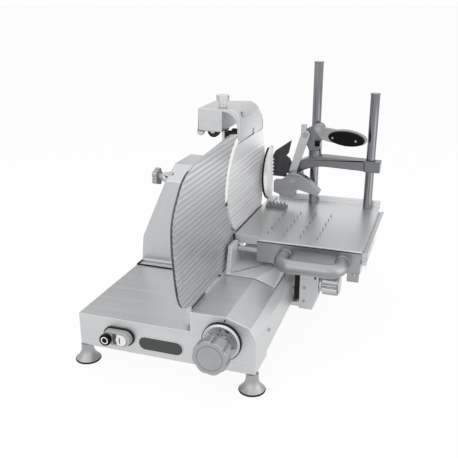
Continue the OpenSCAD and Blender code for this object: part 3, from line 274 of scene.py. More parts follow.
# Enamel of the motor and lacquer of its control board, both inside the base: smooth, half gloss
motor_paint = moulded("motor_enamel", "#3A3D40", rough=0.35, grain_mm=1.0)
board_green = moulded("board_lacquer", "#1C5A3A", rough=0.3, grain_mm=1.0)
# Print on the dial and the buttons: flat black, also painted shade in the pits round screws, and flat white
black_print_and_pit_shade = moulded("black_print_and_pit_painted_shade", "#161616", rough=0.5, grain_mm=0.4)
ink_white = moulded("white_print", "#F2F2F0", rough=0.45, grain_mm=0.4, depth_mm=0.02, fleck=0.03)
# Dark lacquer on the thin plate of the front panel: half gloss
plate_lacquer = moulded("dark_lacquered_plate", "#3E3F41", rough=0.33, grain_mm=0.6)
print(len(bpy.data.materials) - cad_materials, "finishes in all")

# %% [markdown]
# ## Rounded edges
# No casting or bent sheet has a knife edge, and the thin bright line along a rounded edge is what makes
# metal look solid. For the picture each visible one is copied, its loose triangles are joined, flat areas
# are made single faces, and a Bevel modifier rounds the edges by a real radius.

# %% How a piece is rounded
WELD = 2e-5  # metres: corners nearer than this are one corner
FLAT = math.radians(0.4)
SHARP = math.radians(18)
BEVEL_STEPS = 2


def settle(piece):
    view = bpy.context.evaluated_depsgraph_get()
    solid = bpy.data.meshes.new_from_object(piece.evaluated_get(view))
    piece.modifiers.clear()
    piece.data = solid


def soften(node, radius_mm, finish, least_mm):
    mesh = nodes[node].data.copy()
    mesh.materials.clear()
    mesh.materials.append(finish)
    mesh.normals_split_custom_set_from_vertices([(0, 0, 1)] * len(mesh.vertices))
    work = bmesh.new()
    work.from_mesh(mesh)
    for face in work.faces:
        face.material_index = 0
        face.smooth = True
    bmesh.ops.remove_doubles(work, verts=work.verts, dist=WELD)
    bmesh.ops.dissolve_limit(work, angle_limit=FLAT, verts=work.verts, edges=work.edges)
    chosen = work.edges.layers.float.new("bevel_weight_edge")
    for edge in work.edges:
        sharp = len(edge.link_faces) == 2 and edge.calc_face_angle() > SHARP
        rounded = sharp and edge.calc_length() * MM >= least_mm
        edge[chosen] = 1.0 if rounded else 0.0
        edge.smooth = rounded or not sharp
    work.to_mesh(mesh)
    work.free()
    if "custom_normal" in mesh.attributes:
        mesh.attributes.remove(mesh.attributes["custom_normal"])
    piece = bpy.data.objects.new(node + "_dressed", mesh)
    scene.collection.objects.link(piece)
    rounding = piece.modifiers.new("edge", "BEVEL")
    rounding.width = radius_mm / MM
    rounding.segments = BEVEL_STEPS
    rounding.limit_method = "WEIGHT"
    rounding.use_clamp_overlap = False
    rounding.miter_outer = "MITER_ARC"
    rounding.harden_normals = True
    settle(piece)
    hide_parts(node)
    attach(piece, body_of[node])
    return piece


# %% Rounded copies of the CAD pieces
# The base's short edges are only the rims of the holes behind the switch and the dial, so they stay sharp
least_edge_mm = {"base_housing": 8.0}
dressed = {}
for node, radius_mm, finish in [
    ("base_housing", 1.6, brushed_base), ("motor_column", 2.0, casting), ("foot_bells", 0.6, knob_metal),
    ("foot_pads", 0.8, rubber_and_gap_shade), ("blade_cover", 0.4, cover_metal), ("gauge_plate", 0.4, gauge_metal),
    ("gauge_carrier", 1.5, casting), ("blade_guard", 0.5, casting), ("tie_rod", 1.4, knob_metal),
    ("thickness_knob", 2.2, knob_metal), ("thickness_dial", 0.6, casting),
    ("switch_housing", 1.6, grey_plastic), ("stop_button", 1.2, black_plastic),
    ("start_button", 1.0, white_plastic), ("carriage_block", 2.0, blasted),
    ("carriage_saddle", 2.0, blasted), ("carriage_arm", 1.0, casting), ("lock_knob", 2.0, casting),
    ("meat_table", 0.9, brushed_table), ("table_apron", 0.9, drawn_steel),
    ("carriage_handle", 0.8, satin_bar), ("side_rail", 0.8, casting), ("clamp_posts", 0.5, post_bar_painted_dark),
    ("table_comb", 0.4, clamp_steel), ("product_guard", 0.8, white_plastic), ("guard_edging", 0.5, rubber_and_gap_shade),
    ("clamp_arm", 2.2, clamp_steel), ("clamp_collar", 1.2, black_plastic), ("clamp_pins", 0.6, turned_steel),
    ("clamp_lever", 1.4, drawn_steel), ("lever_grip", 2.0, black_plastic), ("press_arm", 1.2, casting),
    ("press_plate", 0.5, tooth_steel), ("press_shoe", 2.2, drawn_steel),
    ("sharpener", 2.0, casting), ("grinding_wheel", 0.6, grit), ("deburring_wheel", 0.6, grit),
    ("sharpener_knob", 0.8, nickel), ("feed_rods", 0.6, bright_bar), ("cable_gland", 0.6, black_plastic),
]:
    dressed[node] = soften(node, radius_mm, finish, least_edge_mm.get(node, 0.0))
print(len(dressed), "rounded pieces,", sum(len(piece.data.polygons) for piece in dressed.values()), "faces")

# %% [markdown]
# ### The two ribbed plates
# The gauge plate's edge is painted dark as shade, the crests of the gauge's ribs carry a painted highlight,
# and the grooves of the cover carry painted shade. The ribs are real geometry, so a face's own place and
# direction tell which it is, and a second material on those faces is simpler than a painted mask.

# %% Edges and ribs of the plates
edge_span = 0.0015  # metres: a face that reaches this far across the plate belongs to its edge
level_face = 0.97  # the upright part of a normal: above this the face lies level
outer_face = 0.9  # the rightward part of a normal: above this the face looks at the food
crest_depth = 0.0003  # metres below the highest rib

# Faces across the gauge plate's edge get the painted shade
gauge_mesh = dressed["gauge_plate"].data
gauge_mesh.materials.append(edge_shade_steel)
for face in gauge_mesh.polygons:
    across = [gauge_mesh.vertices[i].co.x for i in face.vertices]
    shaded_edge = max(across) - min(across) > edge_span and abs(face.normal.z) < level_face
    face.material_index = 1 if shaded_edge else 0

# Rib crests of the gauge get a painted highlight, and the grooves of the cover get painted shade
for plate, crest, groove in [
    ("gauge_plate", crest_highlight_metal, gauge_metal),
    ("blade_cover", cover_metal, groove_shade_metal),
]:
    mesh = dressed[plate].data
    top = max(v.co.x for v in mesh.vertices)
    mesh.materials.append(crest)
    mesh.materials.append(groove)
    for face in mesh.polygons:
        if face.material_index == 0 and face.normal.x > outer_face:
            face.material_index = len(mesh.materials) - (2 if face.center.x > top - crest_depth else 1)
    print(plate, "has", len(mesh.materials), "material slots")

# %% [markdown]
# ### Pieces that keep their CAD mesh
# The drive, the rail and the bushes show only through gaps, and the blade's edge has to stay sharp.
# Rounding them would add faces that nobody sees, so they only get their finish.

# %% Finishes of the unrounded pieces
plain_pieces = {
    "base_cover": brushed_table, "bearing_hub": casting, "blade_bearings": bright_bar, "motor": motor_paint,
    "drive_belt": rubber_and_gap_shade, "motor_shaft": turned_steel, "motor_pulley": casting, "blade_shaft": turned_steel,
    "blade_pulley": casting, "blade": blade_steel, "gauge_rods": bright_bar, "gauge_bushes": bronze,
    "gauge_follower": turned_steel, "scroll_cam": turned_steel, "switch_block": black_plastic,
    "control_board": board_green, "carriage_rail": bright_bar, "rail_brackets": casting,
    "rail_bushes": bronze,
}
for node, finish in plain_pieces.items():
    for slot in nodes[node].material_slots:
        slot.material = finish
print(len(plain_pieces), "pieces keep their CAD mesh")

# %% [markdown]
# ## Places on the machine
# The drawing counts its millimetres from the base's lower left front corner and from the floor. One
# function turns such a place into the frame's metres, and a second one turns a flat drawing to face the
# operator. Small plates, rings and marks are then drawn flat, given a thickness, and set down where they
# belong.

# %% Places and outlines
corner = [min(v.co[i] for v in nodes["base_housing"].data.vertices) for i in (0, 1)]


def at(x, y, z):
    return Vector((corner[0] + x / MM, corner[1] + y / MM, z / MM))


def facing(x, y, z, turn=0.0):
    stood_up = Matrix.Rotation(math.pi / 2, 4, "X")
    return Matrix.Translation(at(x, y, z)) @ stood_up @ Matrix.Rotation(turn, 4, "Z")


def ring(radius, count=48, start=0.0, sweep=360.0, centre=(0, 0)):
    angles = [math.radians(start + sweep * i / count) for i in range(count)]
    return [(centre[0] + radius * math.cos(a), centre[1] + radius * math.sin(a)) for a in angles]


def stadium(length, height):
    # A ring stops one step short of its end, so each half round is swept by that step more
    reach, steps = (length - height) / 2, 16
    sweep = 180 * steps / (steps - 1)
    return (ring(height / 2, steps, -90, sweep, (reach, 0))
            + ring(height / 2, steps, 90, sweep, (-reach, 0)))


def oblong(width, height):
    x, y = width / 2, height / 2
    return [(-x, -y), (x, -y), (x, y), (-x, y)]


print("base corner at", [round(v * MM, 2) for v in corner], "mm")

# %% Flat pieces
def slab(outline, thick, place, inner=None):
    # Four loops of points at most: the outline below and above, then the hole below and above
    n = len(outline)
    paths = [outline, inner] if inner else [outline]
    points = [(x / MM, y / MM, z / MM) for path in paths for z in (0, thick) for x, y in path]
    pairs = [(i, (i + 1) % n) for i in range(n)]
    walls = [(i, j, n + j, n + i) for i, j in pairs]
    if inner:
        walls += [(3 * n + i, 3 * n + j, 2 * n + j, 2 * n + i) for i, j in pairs]
        walls += [(n + i, n + j, 3 * n + j, 3 * n + i) for i, j in pairs]
        walls += [(i, 2 * n + i, 2 * n + j, j) for i, j in pairs]
    else:
        walls += [tuple(range(n, 2 * n)), tuple(reversed(range(n)))]
    mesh = bpy.data.meshes.new("flat_piece")
    mesh.from_pydata(points, [], walls)
    mesh.transform(place)
    return mesh


def joined(meshes):
    work = bmesh.new()
    for mesh in meshes:
        work.from_mesh(mesh)
    whole = bpy.data.meshes.new("joined")
    work.to_mesh(whole)
    work.free()
    return whole


def keep(name, mesh, finish, body):
    mesh.materials.clear()
    mesh.materials.append(finish)
    piece = bpy.data.objects.new(name, mesh)
    scene.collection.objects.link(piece)
    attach(piece, body)
    print(name, len(mesh.polygons), "faces")


# %% [markdown]
# ## Patterns that repeat
# Screws, dial ticks, knurls and gripping spikes are one small shape many times over. A Geometry Nodes tree
# says what the shape is and where it is repeated, and its inputs are the sizes a maker would choose. The
# result is kept as a plain mesh, one for each moving body, so that it rides with the piece it is fixed to.

# %% Pattern helpers
def new_tree(name, **inputs):
    tree = bpy.data.node_groups.new(name, "GeometryNodeTree")
    tree.interface.new_socket("Geometry", in_out="INPUT", socket_type="NodeSocketGeometry")
    tree.interface.new_socket("Geometry", in_out="OUTPUT", socket_type="NodeSocketGeometry")
    for label, kind in inputs.items():
        tree.interface.new_socket(label, in_out="INPUT", socket_type="NodeSocket" + kind)
    tree.interface.new_socket("finish", in_out="INPUT", socket_type="NodeSocketMaterial")
    return tree, add(tree, "NodeGroupInput").outputs


def end_tree(tree, given, instances):
    real = add(tree, "GeometryNodeRealizeInstances", {"Geometry": instances}).outputs[0]
    painted = add(tree, "GeometryNodeSetMaterial", {"Geometry": real, "Material": given["finish"]})
    add(tree, "NodeGroupOutput", {"Geometry": painted.outputs[0]})
    print(tree.name, "has", len(tree.nodes), "nodes")


def grow(name, tree, body, slot, finish, place=None, carrier=None, **sizes):
    piece = bpy.data.objects.new(name, carrier or bpy.data.meshes.new(name))
    scene.collection.objects.link(piece)
    maker = piece.modifiers.new("pattern", "NODES")
    maker.node_group = tree
    for item in tree.interface.items_tree:
        if item.in_out == "INPUT" and item.name in sizes:
            maker[item.identifier] = sizes[item.name]
        elif item.name == "finish":
            maker[item.identifier] = finish
    settle(piece)
    if place:
        piece.data.transform(place)
    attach(piece, body)
    print(name, len(piece.data.polygons), "faces")


# %% [markdown]
# ### Screw and rivet heads
# A head starts as a flat disc. It is drawn up, narrowed for the chamfer, and its middle is pushed in for a
# driver or out for a dome. Every point that carries a head also carries the direction it looks in and its
# size.

# %% Tree of heads
heads, given = new_tree(
    "heads", sides="Int", width="Float", height="Float", recess_width="Float", recess="Float")
wall_share = 0.7
chamfer_width = 0.84
half, wall, slope, sunk = [
    add(heads, "ShaderNodeMath", {0: given[label], 1: share}, operation="MULTIPLY").outputs[0]
    for label, share in [
        ("width", 0.5), ("height", wall_share), ("height", 1 - wall_share), ("recess", -1.0)]]
disc = add(heads, "GeometryNodeMeshCircle", {"Vertices": given["sides"], "Radius": half}, fill_type="NGON")
drum = add(heads, "GeometryNodeExtrudeMesh", {"Mesh": disc.outputs[0], "Offset Scale": wall})
rise = add(heads, "GeometryNodeExtrudeMesh", {
    "Mesh": drum.outputs["Mesh"], "Selection": drum.outputs["Top"], "Offset Scale": slope})
chamfer = add(heads, "GeometryNodeScaleElements", {
    "Geometry": rise.outputs["Mesh"], "Selection": rise.outputs["Top"], "Scale": chamfer_width})
rim = add(heads, "GeometryNodeExtrudeMesh", {
    "Mesh": chamfer.outputs[0], "Selection": rise.outputs["Top"], "Offset Scale": 0.0})
inset = add(heads, "GeometryNodeScaleElements", {
    "Geometry": rim.outputs["Mesh"], "Selection": rim.outputs["Top"], "Scale": given["recess_width"]})
well = add(heads, "GeometryNodeExtrudeMesh", {
    "Mesh": inset.outputs[0], "Selection": rim.outputs["Top"], "Offset Scale": sunk})
look = add(heads, "GeometryNodeInputNamedAttribute", {"Name": "look"}, data_type="FLOAT_VECTOR").outputs[0]
size = add(heads, "GeometryNodeInputNamedAttribute", {"Name": "size"}, data_type="FLOAT").outputs[0]
turned = add(heads, "FunctionNodeAlignRotationToVector", {"Vector": look}, axis="Z").outputs[0]
set_down = add(heads, "GeometryNodeInstanceOnPoints", {
    "Points": given["Geometry"], "Instance": well.outputs["Mesh"], "Rotation": turned, "Scale": size})
end_tree(heads, given, set_down.outputs[0])

# %% Points that carry heads
right, front, back = (1, 0, 0), (0, -1, 0), (0, 1, 0)


def spots(rows):
    mesh = bpy.data.meshes.new("spots")
    mesh.from_pydata([at(*place) for place, look, size in rows], [], [])
    looks = mesh.attributes.new("look", "FLOAT_VECTOR", "POINT")
    looks.data.foreach_set("vector", [v for place, look, size in rows for v in look])
    sizes = mesh.attributes.new("size", "FLOAT", "POINT")
    sizes.data.foreach_set("value", [size for place, look, size in rows])
    return mesh


# Places in millimetres on the faces that carry heads, for the apron with each head's size
wall_screws = [(420, y, 102) for y in (99.4, 330)]
bridge_screws = [(272, 352, 529), (273, 439, 473)]
pin_place = (277.2, 227, 340)
block_screws = [(451, 315, z) for z in (113, 77)]
apron_screws = [((578, 256, 191), 1.0), ((499, 256, 217), 0.6), ((506, 256, 215), 0.6)]
grip_faces = [(550, front), (570, back)]
grip_rivets = [(459, 444), (520, 439)]
print(len(wall_screws + bridge_screws + block_screws + apron_screws), "screws")

# %% Screws and rivets
cap = dict(sides=24, width=0.008, height=0.0032, recess_width=0.6, recess=0.0022)
dent = dict(sides=24, width=0.014, height=0.0004, recess_width=0.6, recess=0.0)
rivet = dict(sides=20, width=0.0058, height=0.0012, recess_width=0.55, recess=-0.0005)

grow("base_screws", heads, "base", "bright_steel", turned_steel,
     carrier=spots([(place, right, 1.0) for place in wall_screws + bridge_screws]), **cap)
# Dark discs round the sharpener's screws are painted shade of the pits they sit in
grow("sharpener_pit_shades", heads, "base", "black_plastic", black_print_and_pit_shade,
     carrier=spots([(place, right, size) for place, size in zip(bridge_screws, (1.0, 1.1))]), **dent)
grow("gauge_pin", heads, "gauge", "black_plastic", black_print_and_pit_shade,
     carrier=spots([(pin_place, right, 0.7)]), **dent)
grow("carriage_screws", heads, "carriage", "bright_steel", turned_steel,
     carrier=spots([(place, front, 0.9) for place in block_screws]), **cap)
grow("table_screws", heads, "table", "bright_steel", turned_steel,
     carrier=spots([(place, front, size) for place, size in apron_screws]), **cap)
grow("lever_rivets", heads, "lever", "stainless", drawn_steel,
     carrier=spots([((x, y, z), side, 1.0) for y, side in grip_faces for x, z in grip_rivets]), **rivet)

# %% [markdown]
# ### Marks round a ring
# Dial ticks and knurls are the same idea: a small block set down along an arc, turned so that it points
# away from the middle. Every few steps a tick is longer, as on a ruler. They could be modelled one by one,
# but set down along an arc their number stays one input.

# %% Tree of ring marks
marks, given = new_tree("ring_marks", count="Int", radius="Float", start="Float", sweep="Float",
                        block="Vector", step="Int", minor="Float")
arc = add(marks, "GeometryNodeCurveArc", {
    "Resolution": given["count"], "Radius": given["radius"],
    "Start Angle": given["start"], "Sweep Angle": given["sweep"]})
dots = add(marks, "GeometryNodeCurveToPoints", {"Curve": arc.outputs[0]}, mode="EVALUATED").outputs[0]
place = add(marks, "GeometryNodeInputPosition").outputs[0]
outward = add(marks, "FunctionNodeAlignRotationToVector", {"Vector": place}, axis="X").outputs[0]
number = add(marks, "GeometryNodeInputIndex").outputs[0]
left_over = add(marks, "ShaderNodeMath", {0: number, 1: given["step"]}, operation="MODULO").outputs[0]
short = add(marks, "ShaderNodeMath", {0: left_over, 1: 0.5}, operation="GREATER_THAN").outputs[0]
length = add(marks, "ShaderNodeMapRange",
             {"Value": short, "To Min": 1.0, "To Max": given["minor"]}).outputs[0]
stretch = add(marks, "ShaderNodeCombineXYZ", {"X": length, "Y": 1.0, "Z": 1.0}).outputs[0]
block = add(marks, "GeometryNodeMeshCube", {"Size": given["block"]}).outputs[0]
set_down = add(marks, "GeometryNodeInstanceOnPoints", {
    "Points": dots, "Instance": block, "Rotation": outward, "Scale": stretch})
end_tree(marks, given, set_down.outputs[0])

# %% Dial ticks and knurls
dial_x, dial_face, dial_z = 345, -10.3, 113
dial_start, dial_sweep = -60, 300  # degrees
thumb_screw = at(222.5, 357, 566)
knurls = 44

grow("dial_ticks", marks, "thickness", "black_plastic", black_print_and_pit_shade, place=facing(dial_x, dial_face, dial_z),
     count=31, radius=0.0356, start=math.radians(dial_start), sweep=math.radians(dial_sweep),
     block=(0.0048, 0.0011, 0.0003), step=5, minor=0.55)
grow("thumb_screw_knurl", marks, "sharpener_screw", "stainless", nickel,
     place=Matrix.Translation(thumb_screw), count=knurls, radius=0.015, start=0.0,
     sweep=math.radians(360 * (knurls - 1) / knurls), block=(0.0012, 0.0012, 0.0125), step=1, minor=1.0)

# %% [markdown]
# ### Gripping spikes
# Rows of short spikes stand on the meat table and keep the food from slipping. They are cones set down on a
# grid, which leaves rows and spacing easy to change, and a fixed seed makes their sizes differ a little, as
# punched spikes do.

# %% Tree of spikes
tip_radius, spike_sides, spike_seed = 0.0003, 12, 7
least_size, most_size = 0.85, 1.1
LOWEST, HIGHEST, DRAWN_FLOAT = 2, 3, 1  # a Random Value node's sockets for plain numbers

spikes, given = new_tree("spike_rows", across="Float", along="Float", rows="Int", count="Int", width="Float",
                         height="Float")
grid = add(spikes, "GeometryNodeMeshGrid", {
    "Size X": given["across"], "Size Y": given["along"],
    "Vertices X": given["rows"], "Vertices Y": given["count"]}).outputs[0]
foot = add(spikes, "ShaderNodeMath", {0: given["width"], 1: 0.5}, operation="MULTIPLY").outputs[0]
cone = add(spikes, "GeometryNodeMeshCone", {
    "Vertices": spike_sides, "Radius Top": tip_radius, "Radius Bottom": foot,
    "Depth": given["height"]}).outputs[0]
uneven = add(spikes, "FunctionNodeRandomValue", {LOWEST: least_size, HIGHEST: most_size, "Seed": spike_seed},
             data_type="FLOAT").outputs[DRAWN_FLOAT]
set_down = add(spikes, "GeometryNodeInstanceOnPoints", {"Points": grid, "Instance": cone, "Scale": uneven})
end_tree(spikes, given, set_down.outputs[0])

spike_field = at(418, 393, 249.6)
grow("table_spikes", spikes, "table", "stainless", clamp_steel, place=Matrix.Translation(spike_field),
     across=0.122, along=0.175, rows=4, count=6, width=0.0036, height=0.008)

# %% [markdown]
# ## Marks and small plates
# The dial's numbers, its pointer, the ring and the bar on the two push buttons and the dark plate on the
# front panel are thin pieces laid on the surface. Thin solids are used instead of a painted image, because
# they stay sharp at any distance and move with the piece they lie on.

# %% Written figures
PRINT_DEPTH = 0.00012  # metres, half the thickness of a figure


def meshed(curve):
    holder = bpy.data.objects.new(curve.name, curve)
    scene.collection.objects.link(holder)
    mesh = bpy.data.meshes.new_from_object(holder.evaluated_get(bpy.context.evaluated_depsgraph_get()))
    bpy.data.objects.remove(holder)
    return mesh


def written(text, size_mm, place):
    curve = bpy.data.curves.new(text, "FONT")
    curve.body, curve.size, curve.extrude = text, size_mm / MM, PRINT_DEPTH
    curve.align_x, curve.align_y = "CENTER", "CENTER"
    mesh = meshed(curve)
    mesh.transform(place)
    return mesh


# %% Dial numbers and pointer
widest_slice = 15  # millimetres, marked every two and a half and rounded up
figure_steps, figure_mm = 6, 7.5
figure_shift = Matrix.Translation((0.0295, 0, 0))
upright = Matrix.Rotation(-math.pi / 2, 4, "Z")

figures = []
for step in range(figure_steps + 1):
    angle = math.radians(dial_start + step * dial_sweep / figure_steps)
    spot = facing(dial_x, dial_face, dial_z, angle) @ figure_shift @ upright
    figures.append(written(str(widest_slice - step * 5 // 2), figure_mm, spot))
pointer = [(-6, -2.6), (6.5, 0), (-6, 2.6)]
pointer_place = facing(358, -10.2, 143.5, math.radians(152))
figures.append(slab(pointer, thick=0.4, place=pointer_place))
keep("dial_figures", joined(figures), black_print_and_pit_shade, "thickness")

# %% Index of the dial, and painted shade round it
index_place = facing(352, 0, 162, math.radians(60))
index_mark = slab(stadium(length=7, height=2.6), thick=0.3, place=index_place)
keep("dial_index", index_mark, black_print_and_pit_shade, "base")
# A black ring round the dial is painted shade of the dial's rim
shade_outer, shade_inner, shade_sides = 44.2, 42.9, 64
dial_rim_shade = slab(ring(shade_outer, shade_sides), thick=6, place=facing(dial_x, 0, dial_z),
                 inner=ring(shade_inner, shade_sides))
keep("dial_rim_shade", dial_rim_shade, rubber_and_gap_shade, "base")

# %% Switch marks
switch_z = 82
mark_depth = 0.4
# Places across the front, and how far each piece stands in front of it
seal_and_shade_place = facing(101, 0, switch_z)
stop_place = facing(80, -31.4, switch_z)
start_place = facing(112, -21.9, switch_z)
panel_place = facing(98.2, -17.6, switch_z)

# The black seal behind the switch housing is a gasket, and it also stands in for painted shade at the
# housing's right and top
switch_seal_and_shade = slab(stadium(length=75.4, height=41.4), thick=5.3, place=seal_and_shade_place)
keep("switch_seal_and_shade", switch_seal_and_shade, rubber_and_gap_shade, "base")
stop_ring = slab(ring(radius=8.6), mark_depth, stop_place, inner=ring(radius=6.2))
keep("stop_ring", stop_ring, ink_white, "stop")
start_bar = slab(oblong(width=2.4, height=14), mark_depth, start_place)
keep("start_bar", start_bar, black_print_and_pit_shade, "start")
# The dark panel between the buttons is narrow enough to leave the pressed stop button free
switch_panel = slab(oblong(width=8, height=25), thick=1.5, place=panel_place)
keep("switch_panel", switch_panel, dark_grey_and_groove_shade, "base")

# %% Plate on the front panel, and painted shade of the knob's groove
plate_place = facing(202, 0, 74.5)
plate_length, plate_height = 106, 32
rim_over, rim_inside = 1, 1.4  # how much longer and shorter than the plate the rim's two outlines are

bare_plate = slab(stadium(plate_length, plate_height), thick=1.6, place=plate_place)
keep("bare_plate", bare_plate, plate_lacquer, "base")
plate_rim = slab(stadium(plate_length + rim_over, plate_height + rim_over), thick=1.8, place=plate_place,
                 inner=stadium(plate_length - rim_inside, plate_height - rim_inside))
keep("plate_rim", plate_rim, nickel, "base")
# A dark ring on the knob's face is the painted shade of a groove
knob_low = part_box("thickness_knob")[0]
knob_front = (knob_low[1] - corner[1]) * MM
knob_groove_shade = slab(ring(radius=28.2), thick=0.15, place=facing(dial_x, knob_front, dial_z),
                   inner=ring(radius=27.2))
keep("knob_groove_shade", knob_groove_shade, dark_grey_and_groove_shade, "thickness")

# %% [markdown]
# ## Seams and edgings
# Where two pieces meet, a real machine shows a dark joint, such as the rubber seam along the apron's top.
# The bead along the table's edge and the tube under the column are painted shade of gaps, and a black strip
# fills the dark gap beside the carriage. Most of them are a thin round section drawn along a line of points,
# so a curve with a bevel is the shortest way to make them.

# %% Trim along lines
def tube(points, radius_mm, closed=False):
    curve = bpy.data.curves.new("tube", "CURVE")
    curve.dimensions, curve.use_fill_caps = "3D", True
    curve.bevel_depth, curve.bevel_resolution = radius_mm / MM, 2
    line = curve.splines.new("POLY")
    line.points.add(len(points) - 1)
    for spot, point in zip(line.points, points):
        spot.co = (*at(*point), 1.0)
    line.use_cyclic_u = closed
    return meshed(curve)


# The bead along the table's left edge is painted shade of the gap between the table and the cover
edge_x, edge_y, edge_z = 279.9, 274.6, 249
table_edge = [(edge_x, edge_y, 228), (edge_x, edge_y, edge_z), (edge_x, 518, edge_z)]
seam_y, seam_z = 256.2, 245.4
apron_top = [(344, seam_y, seam_z), (591, seam_y, seam_z)]
# The tube round the column's foot is painted shade where the column meets the deck
foot_line_x, foot_line_y, foot_line_z = 1, 295.6, 123.5
column_foot = [(foot_line_x, 504, foot_line_z), (foot_line_x, foot_line_y, foot_line_z), (249, foot_line_y, foot_line_z)]
keep("table_edge_shade_bead", tube(table_edge, radius_mm=2.0), rubber_and_gap_shade, "table")
keep("apron_seam", tube(apron_top, radius_mm=1.1), rubber_and_gap_shade, "table")
keep("column_foot_shade_line", tube(column_foot, radius_mm=2.2), rubber_and_gap_shade, "base")

# %% Rims of the feet, and a black strip beside the carriage
rim_radius, rim_height, rim_steps = 27.6, 2.6, 40
feet = [(x, y) for x in (10, 410) for y in (10, 500)]
rims = []
for foot_place in feet:
    circle = [(x, y, rim_height) for x, y in ring(rim_radius, rim_steps, centre=foot_place)]
    rims.append(tube(circle, radius_mm=2.2, closed=True))
keep("foot_rims", joined(rims), rubber_and_gap_shade, "base")
# A black strip fills the dark gap between the base's wall and the carriage block
gap_strip = slab(oblong(width=12.4, height=80), thick=4, place=facing(431, 322, 118))
keep("carriage_gap_strip", gap_strip, rubber_and_gap_shade, "carriage")

# %% [markdown]
# ## Painted highlight on the gauge plate's lip
# The gauge plate's edge follows the blade, and a painted highlight along its lip is the palest line on the
# machine. It could be a second material on the plate, but a thin band of its own between two arcs has a
# cleaner outline. It is drawn like the other flat pieces and turned to look to the right.

# %% Painted highlight on the lip round the blade
to_right = Matrix(((0, 0, 1, 0), (1, 0, 0, 0), (0, 1, 0, 0), (0, 0, 0, 1)))
lip_inner, lip_outer, lip_steps = 129, 145, 30
lip_start, lip_sweep = 112, 70  # degrees
blade_middle = at(276, 362, 351)
band = (ring(lip_inner, lip_steps, lip_start, lip_sweep)
        + ring(lip_outer, lip_steps, lip_start + lip_sweep, -lip_sweep))
lip = slab(band, thick=1.6, place=Matrix.Translation(blade_middle) @ to_right)
keep("gauge_highlight_lip", lip, lip_highlight_metal, "gauge")

# %% [markdown]
# ## Studio
# The photograph is a cut-out on white. A pale floor keeps a faint shadow, and the world is white where the
# camera or a reflection looks at it, so the metal shows the same bright room. Large soft lamps above,
# beside and in front of the machine give its faces different tones, and two cards that only reflections see
# darken the left of the deck and brighten the ribbed plates. The softboxes are large and weak because a
# small strong one shows as a burnt-out patch in bare metal.

# %% White room
ROOM_LIGHT = 0.62  # what the world gives to matt surfaces, where the camera sees full white


def looked_at(tree, *kinds):
    rays = add(tree, "ShaderNodeLightPath").outputs
    seen = rays[kinds[0]]
    for kind in kinds[1:]:
        seen = add(tree, "ShaderNodeMath", {0: seen, 1: rays[kind]}, operation="MAXIMUM").outputs[0]
    return seen


world = bpy.data.worlds.new("white_room")
scene.world = world
world.use_nodes = True
sky = world.node_tree
sky.nodes.clear()
seen = looked_at(sky, "Is Camera Ray", "Is Glossy Ray", "Is Transmission Ray")
room = add(sky, "ShaderNodeBackground", {"Color": linear("#FFFFFF"), "Strength": ROOM_LIGHT}).outputs[0]
white = add(sky, "ShaderNodeBackground", {"Color": linear("#FFFFFF"), "Strength": 1.0}).outputs[0]
mixed = add(sky, "ShaderNodeMixShader", {0: seen, 1: room, 2: white}).outputs[0]
add(sky, "ShaderNodeOutputWorld", {"Surface": mixed})
print("the world gives", ROOM_LIGHT, "to matt surfaces")

# %% Floor
FLOOR_GLOW = 0.94  # the share of the floor that is plain white, so that only a faint shadow is left
floor_reach = 40

floor_finish, ground = blank("white_floor")
seen = looked_at(ground, "Is Camera Ray", "Is Glossy Ray")
share = add(ground, "ShaderNodeMath", {0: seen, 1: FLOOR_GLOW}, operation="MULTIPLY").outputs[0]
matt = add(ground, "ShaderNodeBsdfDiffuse", {"Color": linear("#F4F4F4")}).outputs[0]
glow = add(ground, "ShaderNodeEmission", {"Color": linear("#FFFFFF"), "Strength": 1.0}).outputs[0]
mixed = add(ground, "ShaderNodeMixShader", {0: share, 1: matt, 2: glow}).outputs[0]
add(ground, "ShaderNodeOutputMaterial", {"Surface": mixed})
floor_mesh = bpy.data.meshes.new("floor")
floor_corners = [(x, y, 0) for x, y in oblong(2 * floor_reach, 2 * floor_reach)]
floor_mesh.from_pydata(floor_corners, [], [(0, 1, 2, 3)])
floor_mesh.materials.append(floor_finish)
floor = bpy.data.objects.new("floor", floor_mesh)
scene.collection.objects.link(floor)
print("floor reaches", floor_reach, "m each way")

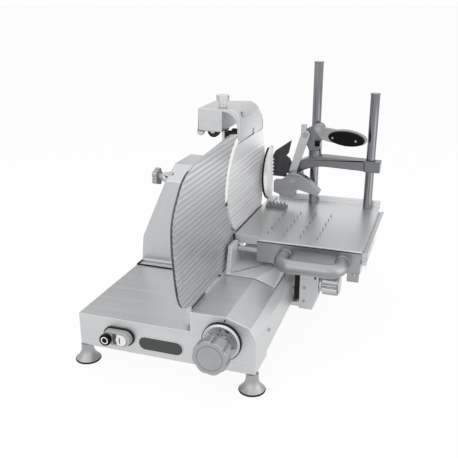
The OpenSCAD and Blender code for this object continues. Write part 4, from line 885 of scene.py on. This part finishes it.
# %% Lamps
def lamp(name, place, aim, size, watts):
    light = bpy.data.lights.new(name, "AREA")
    light.shape = "RECTANGLE"
    light.size, light.size_y = size
    light.energy = watts
    holder = bpy.data.objects.new(name, light)
    holder.location = place
    holder.rotation_euler = (Vector(aim) - Vector(place)).to_track_quat("-Z", "Y").to_euler()
    holder.visible_camera = False
    scene.collection.objects.link(holder)


lamp("top_softbox", (-0.5, -0.2, 2.7), aim=(0, 0, 0.2), size=(4.4, 4.4), watts=27)
lamp("right_softbox", (2.7, -0.4, 1.7), aim=(0.1, 0, 0.25), size=(3.6, 3.0), watts=23)
lamp("front_softbox", (0.7, -2.9, 1.2), aim=(0, 0, 0.25), size=(2.6, 1.6), watts=7)
lamp("front_left_softbox", (-1.3, -2.7, 1.6), aim=(0, 0, 0.25), size=(3.4, 2.8), watts=17)
lamp("low_strip", (0.85, 0.0, 0.2), aim=(0.15, 0.29, 0.4), size=(0.6, 0.4), watts=0.7)
print(len(bpy.data.lights), "lamps")

# %% Cards that only reflections see
def card(name, corners, tone, strength):
    mesh = bpy.data.meshes.new(name)
    mesh.from_pydata(corners, [], [(0, 1, 2, 3)])
    finish, tree = blank(name)
    glow = add(tree, "ShaderNodeEmission", {"Color": linear(tone), "Strength": strength}).outputs[0]
    add(tree, "ShaderNodeOutputMaterial", {"Surface": glow})
    mesh.materials.append(finish)
    screen = bpy.data.objects.new(name, mesh)
    screen.visible_camera = screen.visible_shadow = screen.visible_diffuse = False
    scene.collection.objects.link(screen)


# A grey card stands at the back left, and a bright sheet lies on the floor at the back right
card_y, sheet_z = 1.3, 0.002
grey_card = [(-2.6, card_y, 0.1), (-0.75, card_y, 0.1), (-0.75, card_y, 1.7), (-2.6, card_y, 1.7)]
bright_sheet = [(0.1, 0.75, sheet_z), (1.4, 0.75, sheet_z), (1.4, 2.4, sheet_z), (0.1, 2.4, sheet_z)]
card("back_left_card", grey_card, "#B0B0B0", strength=1.0)
card("back_right_sheet", bright_sheet, "#FFFFFF", strength=1.9)
scene.view_settings.view_transform = "Standard"
print("two cards, and colours in the standard view")
